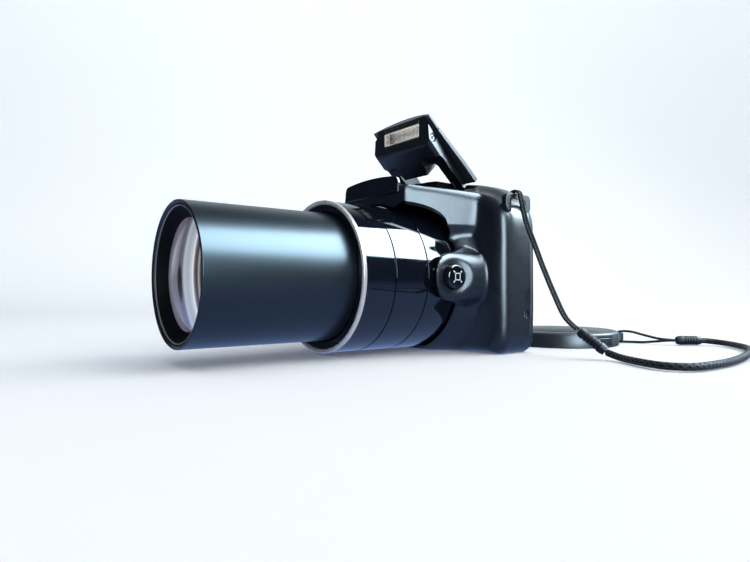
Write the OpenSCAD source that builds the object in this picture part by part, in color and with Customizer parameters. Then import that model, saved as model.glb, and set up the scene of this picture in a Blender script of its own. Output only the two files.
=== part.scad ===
// Bridge camera with its zoom lens run out, its flash raised and its lens cap on a tether.
// Frame: origin on the base plane under the lens axis, -Y is where the lens looks,
// +X is the photographer's left-hand side, +Z is up. Millimetres.

/* [Body] */
// Full width of the body
body_w = 104.4; // [102:0.2:107]
// Left side of the body, measured from the lens axis
left_x = 43; // [42:0.2:44]
// Rear face of the body
rear_y = 13.8; // [13.6:0.1:15]
// Front face of the shoulders beside the lens
slab_y = -4.8; // [-6:0.1:-4.6]
// Height of the control deck above the top of the lens barrel
deck_rise = 1; // [0.5:0.1:1.5]
// Height of the crown of the flash hump above the top of the lens barrel
hump_rise = 12.3; // [11.8:0.1:13]
// Wall of the moulded housing
wall = 1.8; // [1.6:0.1:2]
// How far the grip swells forward of the shoulders
grip_d = 19; // [18:0.5:21]

/* [Lens] */
// Clearance of the bright ring above the base
ring_lift = 0.7; // [0.5:0.05:1]
// Wall of the barrel sections and of the bright ring
barrel_wall = 2; // [1.8:0.05:2.4]
// Wall of the lens housing inside the barrel
housing_wall = 2.1; // [1.8:0.05:2.4]
// Front plane of the bright ring
ring_y = -58; // [-60:0.5:-57]
// Width of the bright ring along the lens
ring_w = 1.4; // [1:0.1:2]
// Radius of the sliding zoom tube
tube_r = 23.7; // [22:0.05:25]
// How far the zoom tube stands out of the ring
tube_out = 53.3; // [50:0.1:54]
// How far the tube runs back when the lens parks
zoom_travel = 48; // [44:0.5:48.5]
// Width of the first barrel section
front_len = 12.7; // [11:0.1:14]
// Width of the second barrel section
mid_len = 14.8; // [13:0.1:15.5]
// Running clearance of sliding lens tubes
tube_fit = 0.08; // [0.05:0.01:0.1]
// Width of the black rim round the front glass
rim_w = 4.9; // [4.4:0.1:6]

/* [Flash] */
// How far the flash is raised in this pose, in degrees
flash_angle = 45; // [40:1:48]
// Half width of the flash cover
flash_half = 17.5; // [16.8:0.1:17.6]
// Place of the flash hinge along the body
hinge_y = 7; // [6.8:0.1:7.2]
// Depth of the flash hinge below the crown of the hump
hinge_drop = 4.8; // [4.6:0.1:5]
// Radius of the hinge knuckle
knuckle_r = 4.2; // [3.8:0.1:4.3]
// Radius of the hinge pin
pin_r = 1; // [0.8:0.1:1.2]
// Width of the flash window
window_w = 23; // [20:0.5:25]
// Height of the flash window
window_h = 7.2; // [6.4:0.1:7.4]

/* [Controls] */
// Radius of the shutter button
shutter_r = 5.2; // [4.6:0.1:5.6]
// Radius of the zoom lever ring
lever_r = 8; // [7.6:0.1:8.4]
// Radius of the framing button on the left of the lens
framing_r = 4.5; // [4:0.1:4.6]
// Radius of the focus lamp beside the grip
lamp_r = 2.35; // [2:0.05:2.6]
// Radius of the small rear buttons
button_r = 2.6; // [2.2:0.1:2.8]
// Radius of the four-way ring
ring4_r = 9.5; // [9:0.1:10]
// Gap round a button in its hole
button_gap = 0.3; // [0.3:0.05:0.4]

/* [Screen] */
// Width of the screen window
screen_w = 62; // [60:0.5:63]
// Height of the screen window
screen_h = 47; // [45:0.5:48]

/* [Power] */
// Depth of the battery, front to back
battery_d = 22; // [20:0.5:22]
// Height of the battery
battery_h = 38; // [35:0.5:40]
// Thickness of the battery
battery_t = 6; // [5:0.1:6.4]

/* [Mounting] */
// Outer radius of the tripod insert
insert_r = 5; // [4.6:0.1:5.2]
// Depth of the tripod thread
socket_depth = 5; // [4.5:0.1:5.5]

/* [Lens cap and tether] */
// Wall of the lens cap's rim
cap_wall = 1.65; // [1.4:0.05:2]
// Height of the lens cap
cap_h = 6.5; // [6:0.1:7]
// Diameter of the braided tether
cord_d = 2.4; // [2.2:0.1:2.6]
// Diameter of the thin loops
loop_d = 1.1; // [1:0.1:1.2]

/* [Hidden] */
$fn = 64;

right_x = left_x - body_w;
rear_t = 2;
// Quarter-inch tripod thread, a standard size
socket_r = 3.175;
seam_y = rear_y - rear_t;
// Fine step that keeps cutters clear of coplanar faces
eps = 0.02;

// Lens stack, outwards from the sliding tube, and the axis that it puts above the base
bore_r = tube_r + 0.6;
housing_r = bore_r + housing_wall;
ring_r = housing_r + barrel_wall;
glass_r = tube_r - rim_w;
lens_z = ring_r + ring_lift;
barrel_top = lens_z + ring_r;
deck_z = barrel_top + deck_rise;
hump_z = barrel_top + hump_rise;
hinge_z = hump_z - hinge_drop;

// Housing outline, as distances from the lens axis
corner_pow = 10;
crest_z = hump_z - 3.4;
hump_reach = hump_z - lens_z;
// Slopes off the hump, as the angle of the normal and its distance: front left, rear left, right
front_slope = [74, hump_reach + 0.9];
rear_slope = [63.4, hump_reach + 6.3];
right_slope = [135, hump_reach + 1.3];
outline_blend = 3;

// Front face of the housing
lip_y = -14.2;
lip_r = ring_r + 1;
lip_flare = 6.1;
lip_pad = 2.1;
scoop_w = 15.1;
scoop_share = 0.25;
collar_w = 5.5;
visor_y = -32.5;
visor_half = 19.5;
visor_slope = 2.2;
visor_fade = 1.5;
visor_drop = 20;
boss_y = -28;
boss_slope = 4.3;
boss_r = ring_r + 3.6;
boss_round = 9;
grip_x = right_x + 10.9;
grip_half = 13.2;
edge_round = 4.5;
columns = 100;
inner_min = housing_r + 0.9;

// Flash well
well_half = 18.2;
well_front = -31;
well_floor = barrel_top;
floor_t = 0.5;
cheek_y = 5;
cheek_half = 14;
rail_half = 22;
rail_z = hump_z - 4.4;

// Lens stack, along the axis
ring_in = ring_r - 1.6;
tube_front = ring_y - tube_out;
housing_floor = 0.4;
// Rear end of the tube when it parks, and as it stands here
park_y = housing_floor - 3.2;
tube_back = park_y - zoom_travel;
seam_gap = 0.3;
mid_front = ring_y + ring_w + front_len + seam_gap;
base_front = mid_front + mid_len + seam_gap;
base_back = lip_y - 0.3;
base_tail = base_back + 4.8;
housing_back = 3;
cam_r = tube_r - 1.8;
cam_front = -46;
cam_back = housing_floor - 0.3;
group_front = -44;

sensor_hole = 12;

// Inner stack, back from the lens
chassis_t = 1;
chassis_back = housing_back + chassis_t;
board_front = 6;
board_t = 1;
button_back = 9.4;
button_out = 0.7;

// Flash capacitor
store_x = 35.4;
store_y = 1.4;
store_r = 3.2;

// Grip compartment
bay_front = -18.5;
bay_wall = 0.9;
bay_x = grip_x - 3.8;
card_x = bay_x + battery_t + bay_wall;
door_x0 = right_x + 4.6;
door_x1 = -39.4;
door_y0 = -18.6;
door_y1 = 5;
door_t = 1.6;
// The door's front corner is cut away where the grip turns back to the lens
door_corner = -44.9;
door_side = -8;

// Places of the controls
shutter_x = grip_x + 1;
shutter_y = -2.5;
power_x = -31;
power_r = 3.4;
power_y = -1;
framing_y = -20;
lamp_x = -36;
lamp_z = deck_z - 8.5;
lamp_fit = 0.15;
ring4_x = -42;
ring4_z = 22;
screen_x = 10.5;
screen_z = 29;
socket_x = 33.5;
socket_y = 4.4;

// Tether
cap_bore = tube_r + 0.15;
cap_r = cap_bore + cap_wall;
cap_x = 26;
cap_y = 54.4;
cap_eye_a = 53;
cap_latch_a = -8;
lug_y = 4.2;

// Helpers for the outline
function clamp01(v) = min(1, max(0, v));
function smooth(a, b, v) = let (t = clamp01((v - a) / (b - a))) t * t * (3 - 2 * t);
function mix(a, b, t) = a + (b - a) * t;
function soft_max(a, b, k) = let (h = max(k - abs(a - b), 0) / k) max(a, b) + h * h * k / 4;
function soft_min(a, b, k) = -soft_max(-a, -b, k);
// Nearness of a flat side whose normal points at angle n, seen along angle t
function side_near(t, n, d) = max(cos(t - n), 0.0001) / d;
function round_corner(sides, i = 0, acc = 0) =
    i == len(sides) ? pow(acc, -1 / corner_pow)
                    : round_corner(sides, i + 1, acc + pow(sides[i], corner_pow));
function slab_r(t) = round_corner([
    side_near(t, 0, left_x), side_near(t, 180, -right_x),
    side_near(t, 90, deck_z - lens_z), side_near(t, 270, lens_z + 1.2)]);
function crest_r(t, left, right, top) = round_corner([
    side_near(t, 0, left_x - 2), side_near(t, left[0], left[1]), side_near(t, 90, top - lens_z),
    side_near(t, right[0], right[1]), side_near(t, 180, left_x), side_near(t, 270, 20)]);
function arch_r(t) = crest_r(t, rear_slope, [180 - rear_slope[0], rear_slope[1]], hump_z + 0.6);
function on_base(t, r) = sin(t) < 0 ? min(r, lens_z / -sin(t)) : r;
function front_r(t) =
    on_base(t, soft_max(slab_r(t), crest_r(t, front_slope, right_slope, crest_z), outline_blend));
function rear_r(t) =
    on_base(t, soft_max(front_r(t),
        crest_r(t, rear_slope, right_slope + [0, 2], hump_z + 0.6), outline_blend));
function side_r(t, y) = mix(front_r(t), rear_r(t), smooth(-2, cheek_y + 2, y));

// Front face as a height over the plane of the outline, at polar place (rho, t)
function scoop_at(rho) =
    let (q = rho - lip_r)
    mix(lip_y, slab_y, mix(smooth(0, collar_w, q), smooth(collar_w / 2, scoop_w, q), scoop_share));
function visor_at(x, z) =
    z < lens_z ? 0 : visor_y + visor_slope * max(0, abs(x) - visor_half)
        + visor_fade * max(0, lens_z + visor_drop - z);
function boss_at(rho, x, z) =
    let (d = abs(z - lens_z))
    let (nose = boss_round - sqrt(max(0, boss_round * boss_round - d * d)) + 3 * max(0, d - boss_round))
    x < 0 ? 0 : boss_y + boss_slope * max(0, rho - boss_r) + nose;
function grip_at(x, z) =
    let (s = (x - grip_x) / grip_half)
    let (taper = 1 - 0.5 * smooth(38, deck_z + 3.5, z))
    slab_y - grip_d * taper * max(0, 1 - s * s) * (1 + 0.6 * s * s);
function face_y(rho, t) =
    let (x = rho * cos(t), z = lens_z + rho * sin(t))
    soft_min(soft_min(scoop_at(rho), visor_at(x, z), 3),
             soft_min(boss_at(rho, x, z), grip_at(x, z), 3), 2);

// The lip is the edge that shows round the barrel
function lip_at(t) =
    let (flare = max(0, 1 - pow((abs(90 - t) - 42) / 18, 2)))
    let (pad = max(0, 1 - pow((t > 180 ? t - 360 : t) / 24, 2)))
    min(lip_r + lip_flare * flare + lip_pad * pad, front_r(t) - 1.75);
function edge_at(t) =
    let (room = front_r(t) - lip_at(t))
    let (crown = smooth(52, 64, t) * (1 - smooth(116, 128, t)))
    min(max(0.45 * room, 0.7), mix(edge_round, 1.2, crown));
FACE_ROWS = [0, 0.05, 0.12, 0.2, 0.3, 0.45, 0.62, 0.8, 1];
ROUND_ROWS = [30, 60, 90];
SIDE_ROWS = [0.45, 0.8, 1];

// Directions round the lens, closer together round the boss and where the grip turns under
SHELL_TURNS = [for (i = [0 : columns - 1])
    let (t = 360 * i / columns)
    let (parts = t > 196 && t < 234 ? 3 : t > 338 || t < 20 ? 2 : 1)
    each [for (k = [0 : parts - 1]) t + 360 / columns * k / parts]];

// One closed section of the front shell, from the lip out, back, and home inside
function shell_outer(t) =
    let (r = front_r(t), e = edge_at(t), l = lip_at(t))
    let (y1 = face_y(r, t) + e)
    concat(
        [for (v = FACE_ROWS) let (q = mix(l, r - e, v)) [q, face_y(q, t)]],
        [for (a = ROUND_ROWS) let (q = r - e + e * sin(a)) [q, face_y(q, t) + e * (1 - cos(a))]],
        [for (v = SIDE_ROWS) let (y = mix(y1, seam_y, v)) [side_r(t, y), y]]);
// Inner point straight through the wall from an outer one. The small steps per row keep
// inner points apart where the wall is as thin as the lip.
function inset(rho, t, j) =
    let (s = cos(t) < -0.3 ? 0 : (face_y(rho + 0.2, t) - face_y(rho - 0.2, t)) / 0.4)
    let (w = (wall - 0.2) / sqrt(1 + s * s))
    let (y = face_y(rho, t) + w + eps * j)
    let (clear = y < lip_y + 0.2 ? ring_r + 0.35 : inner_min)
    [max(clear + eps * j, min(rho - s * w, side_r(t, y) - wall - eps * (9 - j))), y];
function shell_inner(t) =
    let (r = front_r(t), e = edge_at(t), l = lip_at(t))
    let (y1 = face_y(r, t) + e)
    concat(
        [for (j = [0 : len(FACE_ROWS) - 1])
            let (q = mix(l, r - e, FACE_ROWS[j]))
            inset(q, t, j)],
        [for (v = SIDE_ROWS)
            let (y = mix(y1 + wall, seam_y, v))
            [max(inner_min + 10 * eps, side_r(t, y) - wall), y]]);
function flip(list) = [for (i = [len(list) - 1 : -1 : 0]) list[i]];
function place(q, t) = [q[0] * cos(t), q[1], lens_z + q[0] * sin(t)];

// Closed skin through a ring of closed sections
module ring_loft(sections) {
    n = len(sections);
    m = len(sections[0]);
    polyhedron(
        points = [for (s = sections) for (q = s) q],
        faces = [for (i = [0 : n - 1]) for (j = [0 : m - 1])
            let (a = i * m + j, b = i * m + (j + 1) % m)
            let (c = ((i + 1) % n) * m + j, d = ((i + 1) % n) * m + (j + 1) % m)
            each [[a, c, b], [b, c, d]]]);
}

// Closed skin through a row of sections, with an end face on each side
module row_loft(sections) {
    n = len(sections);
    m = len(sections[0]);
    polyhedron(
        points = [for (s = sections) for (q = s) q],
        faces = concat(
            [[for (j = [0 : m - 1]) j]],
            [[for (j = [m - 1 : -1 : 0]) (n - 1) * m + j]],
            [for (i = [0 : n - 2]) for (j = [0 : m - 1])
                let (a = i * m + j, b = i * m + (j + 1) % m)
                let (c = (i + 1) * m + j, d = (i + 1) * m + (j + 1) % m)
                each [[a, c, b], [b, c, d]]]));
}

// Tube along a route: points on a smooth curve through the route, and a ring at each
function curve_point(p, i, u) =
    let (n = len(p) - 1)
    let (a = p[max(i - 1, 0)], b = p[i], c = p[min(i + 1, n)], d = p[min(i + 2, n)])
    0.5 * (2 * b + (c - a) * u + (2 * a - 5 * b + 4 * c - d) * u * u
        + (3 * b - a - 3 * c + d) * u * u * u);
function curve(p, steps) = concat(
    [for (i = [0 : len(p) - 2]) for (k = [0 : steps - 1]) curve_point(p, i, k / steps)],
    [p[len(p) - 1]]);
function unit(v) = v / norm(v);
function tangent(p, i) = unit(p[min(i + 1, len(p) - 1)] - p[max(i - 1, 0)]);
// Points level with a route, a step to its side
function beside(p, step) = [for (i = [0 : len(p) - 1])
    let (t = tangent(p, i))
    p[i] + step * unit([t[1], -t[0], 0])];
// The side direction is carried along the route, so that the tube doesn't twist
function frames(p, i = 0, side = undef, out = []) =
    i == len(p) ? out :
    let (t = tangent(p, i))
    let (first = abs(t[2]) < 0.9 ? [0, 0, 1] : [1, 0, 0])
    let (s = side == undef ? first : side)
    let (u = unit(s - t * (s * t)))
    frames(p, i + 1, u, concat(out, [[u, cross(t, u)]]));
module cord_tube(route, d, steps) {
    p = curve(route, steps);
    f = frames(p);
    row_loft([for (i = [0 : len(p) - 1])
        [for (k = [0 : 7]) p[i] + d / 2 * (cos(45 * k + 22.5) * f[i][0] + sin(45 * k + 22.5) * f[i][1])]]);
}

// Frames of the parts that aren't upright
module on_lens() {
    translate([0, 0, lens_z]) rotate([-90, 0, 0]) children();
}
module along_y(x, z) {
    translate([x, 0, z]) rotate([-90, 0, 0]) children();
}
module along_x(y, z) {
    translate([0, y, z]) rotate([0, 90, 0]) children();
}
module raised() {
    translate([0, hinge_y, hinge_z]) rotate([-flash_angle, 0, 0])
        translate([0, -hinge_y, -hinge_z]) children();
}
module lens_ring(ro, ri, y0, y1) {
    on_lens() rotate_extrude() translate([ri, y0]) square([ro - ri, y1 - y0]);
}
module post_y(x, z, r, y0, y1) {
    along_y(x, z) translate([0, 0, y0]) cylinder(r = r, h = y1 - y0);
}
module box(x0, x1, y0, y1, z0, z1) {
    translate([x0, y0, z0]) cube([x1 - x0, y1 - y0, z1 - z0]);
}
// Upright plate in the plane of the outline, from y0 to y1
module plate_y(y0, y1) {
    translate([0, y1, 0]) rotate([90, 0, 0]) linear_extrude(y1 - y0) children();
}
module rounded(w, h, r) {
    translate([-w / 2 + r, -h / 2]) square([w - 2 * r, h]);
    translate([-w / 2, -h / 2 + r]) square([w, h - 2 * r]);
    for (x = [-1, 1], y = [-1, 1])
        translate([x * (w / 2 - r), y * (h / 2 - r)]) circle(r = r);
}

// Housing

module rear_holes(grow) {
    for (b = REAR_BUTTONS) post_y(b[0], b[1], button_r + grow, 0, 30);
    post_y(ring4_x, ring4_z, ring4_r + grow, 0, 30);
}
REAR_BUTTONS = [[-31, deck_z - 8.5], [-35, 38], [-49, 38], [-36, 8]];

module front_shell() {
    color([0.09, 0.1, 0.11]) difference() {
        ring_loft([for (t = SHELL_TURNS)
            [for (q = concat(shell_outer(t), flip(shell_inner(t)))) place(q, t)]]);
        // Flash well, with cheeks left at the back for the hinge
        box(-well_half, well_half, well_front, cheek_y, well_floor + floor_t, 90);
        box(-cheek_half, cheek_half, cheek_y - 1, seam_y - 0.05, well_floor + floor_t, 90);
        along_x(hinge_y, hinge_z) cylinder(r = pin_r, h = 60, center = true);
        // Rails of the well, level under the edges of the flash cover
        side_view(-rail_half, rail_half, [
            [well_front + 1, rail_z + 2], [well_front + 4, rail_z + 0.8], [cheek_y, rail_z],
            [cheek_y, rail_z + 30], [well_front + 1, rail_z + 30]]);
        // Framing button
        along_x(framing_y, lens_z) translate([0, 0, ring_r + 0.6])
            cylinder(r = framing_r + button_gap, h = 12);
        // Deck controls
        translate([shutter_x, shutter_y, deck_z - 13]) cylinder(r = shutter_r - 0.6, h = 30);
        translate([power_x, power_y, deck_z - 13]) cylinder(r = power_r + button_gap, h = 30);
        // Focus lamp
        post_y(lamp_x, lamp_z, lamp_r + lamp_fit, -30, 5);
        // Base: tripod insert and battery door
        translate([socket_x, socket_y, -1]) cylinder(r = insert_r, h = 6);
        translate([0, 0, -1]) linear_extrude(7) polygon([
            [door_x0, door_y0], [door_corner, door_y0], [door_x1, door_side],
            [door_x1, door_y1], [door_x0, door_y1]]);
        // Terminal door on the right side
        box(right_x - 3, right_x + 4, 4.4, 10.8, 24, 40);
        // Side screw, and the pockets of the strap lugs
        along_x(9, 14.9) translate([0, 0, left_x - 3]) cylinder(r = 1.5, h = 9);
        strap_lug(left_x - 2);
        strap_lug(right_x - 0.2);
    }
}

function outline_2d(grow) = [for (i = [0 : columns - 1])
    let (t = 360 * i / columns, r = rear_r(t) + grow)
    [r * cos(t), lens_z + r * sin(t)]];

module rear_cover() {
    rim = 1.2;
    color([0.08, 0.085, 0.095]) difference() {
        union() {
            row_loft([for (v = [[-rim, rear_y], [-0.35, rear_y - 0.45], [0, rear_y - rim], [0, seam_y]])
                [for (p = outline_2d(v[0])) [p[0], v[1], max(p[1], 0)]]]);
            // Thumb rest
            along_y(grip_x - 0.5, deck_z - 9.5) translate([0, 0, rear_y - 3.9]) intersection() {
                sphere(r = 6);
                translate([0, 0, 3.9]) cylinder(r = 7, h = 4);
            }
        }
        plate_y(seam_y - 1, rear_y + 4) translate([screen_x, screen_z]) rounded(screen_w, screen_h, 1.5);
        rear_holes(button_gap);
        plate_y(seam_y - 1, seam_y + 0.8) translate([ring4_x - 1, 30]) rounded(30, 50, 3);
    }
}

// Points over the crown of the hump, from the angle of (half, z) to its mirror image
function arch_line(half, z, drop = 0) =
    let (a0 = atan2(z - lens_z, half), steps = 14)
    [for (i = [0 : steps])
        let (t = a0 + (180 - 2 * a0) * i / steps)
        let (r = arch_r(t) - drop)
        [r * cos(t), lens_z + r * sin(t)]];

module hump_fascia() {
    half = 17.2;
    foot = hump_z - 8.8;
    side = [[half - 0.3, hump_z - 4], [half, hump_z - 5.4], [half, foot]];
    color([0.03, 0.03, 0.035]) difference() {
        plate_y(visor_y - 1.4, visor_y) polygon(concat(
            arch_line(half - 1.4, hump_z - 2.9, 1.4), [for (q = side) [-q[0], q[1]]], flip(side)));
        lens_ring(ring_r + 2.6, 0, visor_y - 5, visor_y + 5);
    }
}

module flash_tray() {
    color([0.05, 0.05, 0.055]) {
        box(-17.4, 17.4, well_front + 1, seam_y - 1, well_floor, well_floor + floor_t);
        difference() {
            for (s = [-1, 1]) box(s * 15 - 1, s * 15 + 1, -9.5, 2, lens_z + 20, well_floor);
            lens_ring(housing_r, 0, -12, 6);
        }
        // Crown block that stands between the arms of the flash
        plate_y(block_front, block_back) polygon(concat(
            arch_line(block_half, hump_z - 0.6, 0.3),
            [[-block_half, well_floor], [block_half, well_floor]]));
    }
}

module lug_shape() {
    difference() {
        translate([0, 0.2]) rounded(14.6, 7, 2.2);
        translate([0, -1.1]) rounded(8.4, 5.6, 1.2);
    }
}
module strap_lug(x) {
    translate([x, lug_y, deck_z - 1.5]) rotate([90, 0, 90]) linear_extrude(2.2) lug_shape();
}
module strap_lug_left() {
    color([0.05, 0.05, 0.06]) strap_lug(left_x - 2);
}
module strap_lug_right() {
    color([0.05, 0.05, 0.06]) strap_lug(right_x - 0.2);
}

module tripod_socket() {
    color([0.72, 0.72, 0.7]) difference() {
        translate([socket_x, socket_y, 0]) cylinder(r = insert_r, h = socket_depth + 1);
        translate([socket_x, socket_y, -1]) cylinder(r = socket_r, h = socket_depth + 1);
    }
}

module screw(r, h) {
    difference() {
        cylinder(r = r, h = h);
        for (a = [0, 90])
            rotate([0, 0, a]) translate([-r * 0.7, -0.2, h - 0.5]) cube([r * 1.4, 0.4, 1]);
    }
}
module housing_screws() {
    color([0.25, 0.25, 0.27])
        translate([left_x - wall, 9, 14.9]) rotate([0, 90, 0]) screw(1.5, wall - 0.5);
}

// Inside

module chassis() {
    color([0.6, 0.62, 0.64]) difference() {
        union() {
            box(-34, 36, housing_back, chassis_back, socket_depth + 1, deck_z - 3.5);
            box(24, 38, 0, chassis_back, socket_depth + 1, socket_depth + 2);
            for (x = [-28, 22], z = [8, deck_z - 8.5]) post_y(x, z, 2, chassis_back, board_front);
        }
        lens_ring(sensor_hole, 0, 0, 8);
        translate([store_x, store_y, 20]) cylinder(r = store_r, h = 30);
    }
}

module main_board() {
    color([0.06, 0.32, 0.16]) {
        box(-56, 34, board_front, board_front + board_t, 7, deck_z - 4.5);
        box(-20, -4, board_front + board_t, board_front + 2.4, 36, 50);
        for (b = REAR_BUTTONS)
            box(b[0] - 2, b[0] + 2, board_front + board_t, board_front + 1.8, b[1] - 2, b[1] + 2);
    }
}

module sensor_unit() {
    color([0.2, 0.2, 0.24]) {
        box(-7, 7, 1, chassis_back, lens_z - 5.4, lens_z + 5.4);
        box(-13, 13, chassis_back, chassis_back + 1, lens_z - 11, lens_z + 11);
        box(-11, 11, chassis_back + 1, board_front, lens_z - 9, lens_z + 9);
    }
}

module lcd_panel() {
    color([0.35, 0.36, 0.38]) {
        plate_y(board_front + 3, seam_y + 0.4)
            translate([screen_x, screen_z]) rounded(screen_w - 1, screen_h - 1, 1);
        for (x = [-12, 30]) box(x - 2, x + 2, board_front + board_t, board_front + 3, 10, 14);
    }
}
module lcd_window() {
    color([0.02, 0.02, 0.025])
        plate_y(seam_y + 0.4, rear_y - 0.3) translate([screen_x, screen_z])
            rounded(screen_w, screen_h, 1.5);
}

module battery_space(grow) {
    box(bay_x - grow, bay_x + battery_t + grow, bay_front + bay_wall - grow,
        bay_front + bay_wall + battery_d + grow, 3, 3 + battery_h + grow);
}
module card_space(grow) {
    box(card_x - grow, card_x + 2.1 + grow, bay_front + bay_wall - grow,
        bay_front + bay_wall + battery_d + grow, 3, 35 + grow);
}
module battery_bay() {
    color([0.14, 0.14, 0.15]) {
        difference() {
            union() {
                battery_space(bay_wall);
                card_space(bay_wall);
            }
            translate([0, 0, -1]) battery_space(0);
            translate([0, 0, -1]) card_space(0);
            battery_space(0);
            card_space(0);
        }
        // Arm that ties the bay to the chassis
        box(card_x + 2.1 + bay_wall, -34, housing_back, chassis_back, 8, 30);
    }
}
module battery() {
    color([0.28, 0.3, 0.34]) battery_space(0);
}
module memory_card() {
    color([0.1, 0.16, 0.36]) card_space(0);
}

module battery_door() {
    axis_x = door_x1 - 1.2;
    gap = 0.35;
    color([0.09, 0.1, 0.11]) difference() {
        union() {
            linear_extrude(door_t) polygon([
                [door_x0 + gap, door_y0 + gap], [door_corner - gap, door_y0 + gap],
                [axis_x - door_t, door_side - 4.4], [axis_x - door_t, door_side + gap],
                [axis_x, door_side + gap], [axis_x, door_y1 - gap], [door_x0 + gap, door_y1 - gap]]);
            translate([axis_x, door_side + gap, door_t / 2]) rotate([-90, 0, 0])
                cylinder(r = door_t / 2, h = door_y1 - door_side - 2 * gap);
        }
        // Finger groove
        translate([door_x0 + 4, (door_y0 + door_y1) / 2, -0.4]) rotate([90, 0, 0])
            cylinder(r = 1, h = 10, center = true);
    }
}

module terminal_door() {
    color([0.07, 0.07, 0.08]) {
        box(right_x, right_x + 1.4, 4.8, 10.2, 24.4, 39.6);
    }
}
module usb_socket() {
    color([0.7, 0.7, 0.72]) difference() {
        box(right_x + 3, right_x + 9.4, board_front + board_t, board_front + board_t + 3, 28, 36);
        box(right_x + 2, right_x + 8, board_front + board_t + 0.4, board_front + board_t + 2.6, 28.5, 35.5);
    }
}
module focus_lamp() {
    color([0.9, 0.55, 0.25]) post_y(lamp_x, lamp_z, lamp_r, -7, 3);
}

// Lens

module silver_ring() {
    color([0.78, 0.78, 0.8]) on_lens() rotate_extrude() polygon([
        [ring_in, ring_y + 0.5], [ring_r - 1, ring_y], [ring_r - 0.25, ring_y],
        [ring_r, ring_y + 0.25], [ring_r, ring_y + ring_w], [ring_in, ring_y + ring_w]]);
}

module barrel_front() {
    y0 = ring_y + ring_w;
    color([0.03, 0.03, 0.035]) on_lens() rotate_extrude() polygon([
        [tube_r + 0.5, ring_y + 1.1], [ring_in, ring_y + 0.9], [ring_in, y0],
        [ring_r - 0.2, y0], [ring_r - 0.2, y0 + front_len], [housing_r, y0 + front_len],
        [housing_r, ring_y + 2.4], [tube_r + 0.5, ring_y + 2.4]]);
}

module barrel_mid() {
    color([0.03, 0.03, 0.035]) lens_ring(ring_r - 0.1, housing_r, mid_front, mid_front + mid_len);
}

module barrel_base() {
    color([0.03, 0.03, 0.035]) on_lens() rotate_extrude() polygon([
        [housing_r, base_front], [ring_r, base_front], [ring_r, base_back],
        [inner_min - 0.4, base_back], [inner_min - 0.4, base_tail], [housing_r, base_tail]]);
}

module lens_housing() {
    color([0.12, 0.12, 0.13]) difference() {
        on_lens() rotate_extrude() polygon([
            [tube_r + tube_fit, ring_y + 2.4], [housing_r, ring_y + 2.4], [housing_r, housing_back],
            [sensor_hole, housing_back], [sensor_hole, housing_floor], [bore_r, housing_floor],
            [bore_r, ring_y + 3.6], [tube_r + tube_fit, ring_y + 3.6]]);
    }
}

module zoom_tube() {
    collar = bore_r - tube_fit;
    color([0.05, 0.06, 0.07]) on_lens() rotate_extrude() polygon([
        [tube_r - 1.2, tube_front + 0.6], [tube_r - 0.6, tube_front], [tube_r - 0.3, tube_front],
        [tube_r, tube_front + 0.3], [tube_r, tube_back - 2], [collar, tube_back - 2],
        [collar, tube_back], [tube_r - 1.2, tube_back]]);
}

module front_baffle() {
    y0 = tube_front;
    color([0.04, 0.04, 0.045]) on_lens() rotate_extrude() polygon([
        [tube_r - 1.2, y0 + 0.6], [tube_r - 1.2, y0 + 8], [glass_r - 0.35, y0 + 8],
        [glass_r - 0.35, y0 + 4.6], [glass_r + 0.2, y0 + 4.1], [tube_r - 2.2, y0 + 1.2]]);
}

module lens_cell() {
    y0 = tube_front + 8;
    color([0.1, 0.1, 0.11]) on_lens() rotate_extrude() polygon([
        [glass_r, y0], [tube_r - 1.2, y0], [tube_r - 1.2, y0 + 6], [glass_r - 3, y0 + 6],
        [glass_r - 3, y0 + 4.5], [glass_r, y0 + 4.5]]);
}

module front_element() {
    // Dome of the front face, its crown just inside the rim
    dome = 50;
    crown = tube_front + 0.85;
    flange = tube_front + 8.2;
    back = tube_front + 12.5;
    color([0.7, 0.68, 0.8, 0.5]) on_lens() intersection() {
        translate([0, 0, crown + dome]) sphere(r = dome, $fn = 96);
        union() {
            translate([0, 0, tube_front]) cylinder(r = glass_r - 0.5, h = back - tube_front);
            translate([0, 0, flange]) cylinder(r = glass_r, h = back - flange);
        }
    }
}

module cam_barrel() {
    color([0.35, 0.33, 0.28]) difference() {
        lens_ring(cam_r, cam_r - 1.2, cam_front, cam_back);
        // Three slanting tracks for the moving group
        on_lens() for (a = [0, 120, 240])
            rotate([0, 0, a]) translate([0, cam_r, -24]) rotate([90, 0, 0]) rotate([0, 0, 32])
                linear_extrude(8, center = true) rounded(2.4, 26, 1.1);
    }
}

module zoom_group() {
    r = cam_r - 1.6;
    color([0.08, 0.08, 0.085]) on_lens() rotate_extrude() polygon([
        [9, group_front + 1], [r, group_front], [r, group_front + 8], [r - 1, group_front + 8],
        [r - 1, group_front + 4], [9, group_front + 4]]);
}
module zoom_glass() {
    color([0.6, 0.7, 0.8, 0.5]) on_lens() intersection() {
        translate([0, 0, group_front + 1]) cylinder(r = 9, h = 3);
        translate([0, 0, group_front + 1 + 30]) sphere(r = 30);
    }
}

module zoom_motor() {
    color([0.55, 0.56, 0.58]) {
        translate([-37, 0.2, 8]) cylinder(r = 2.6, h = 14);
        box(-40, -housing_r - 0.1, -2.4, housing_back, 22, 26);
    }
}

// Controls

module framing_button() {
    color([0.03, 0.03, 0.035]) along_x(framing_y, lens_z) {
        translate([0, 0, ring_r + 1.2]) cylinder(r = framing_r, h = 4.6);
        translate([0, 0, ring_r + 5.8]) cylinder(r1 = framing_r, r2 = framing_r - 0.5, h = 0.5);
    }
}

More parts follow.
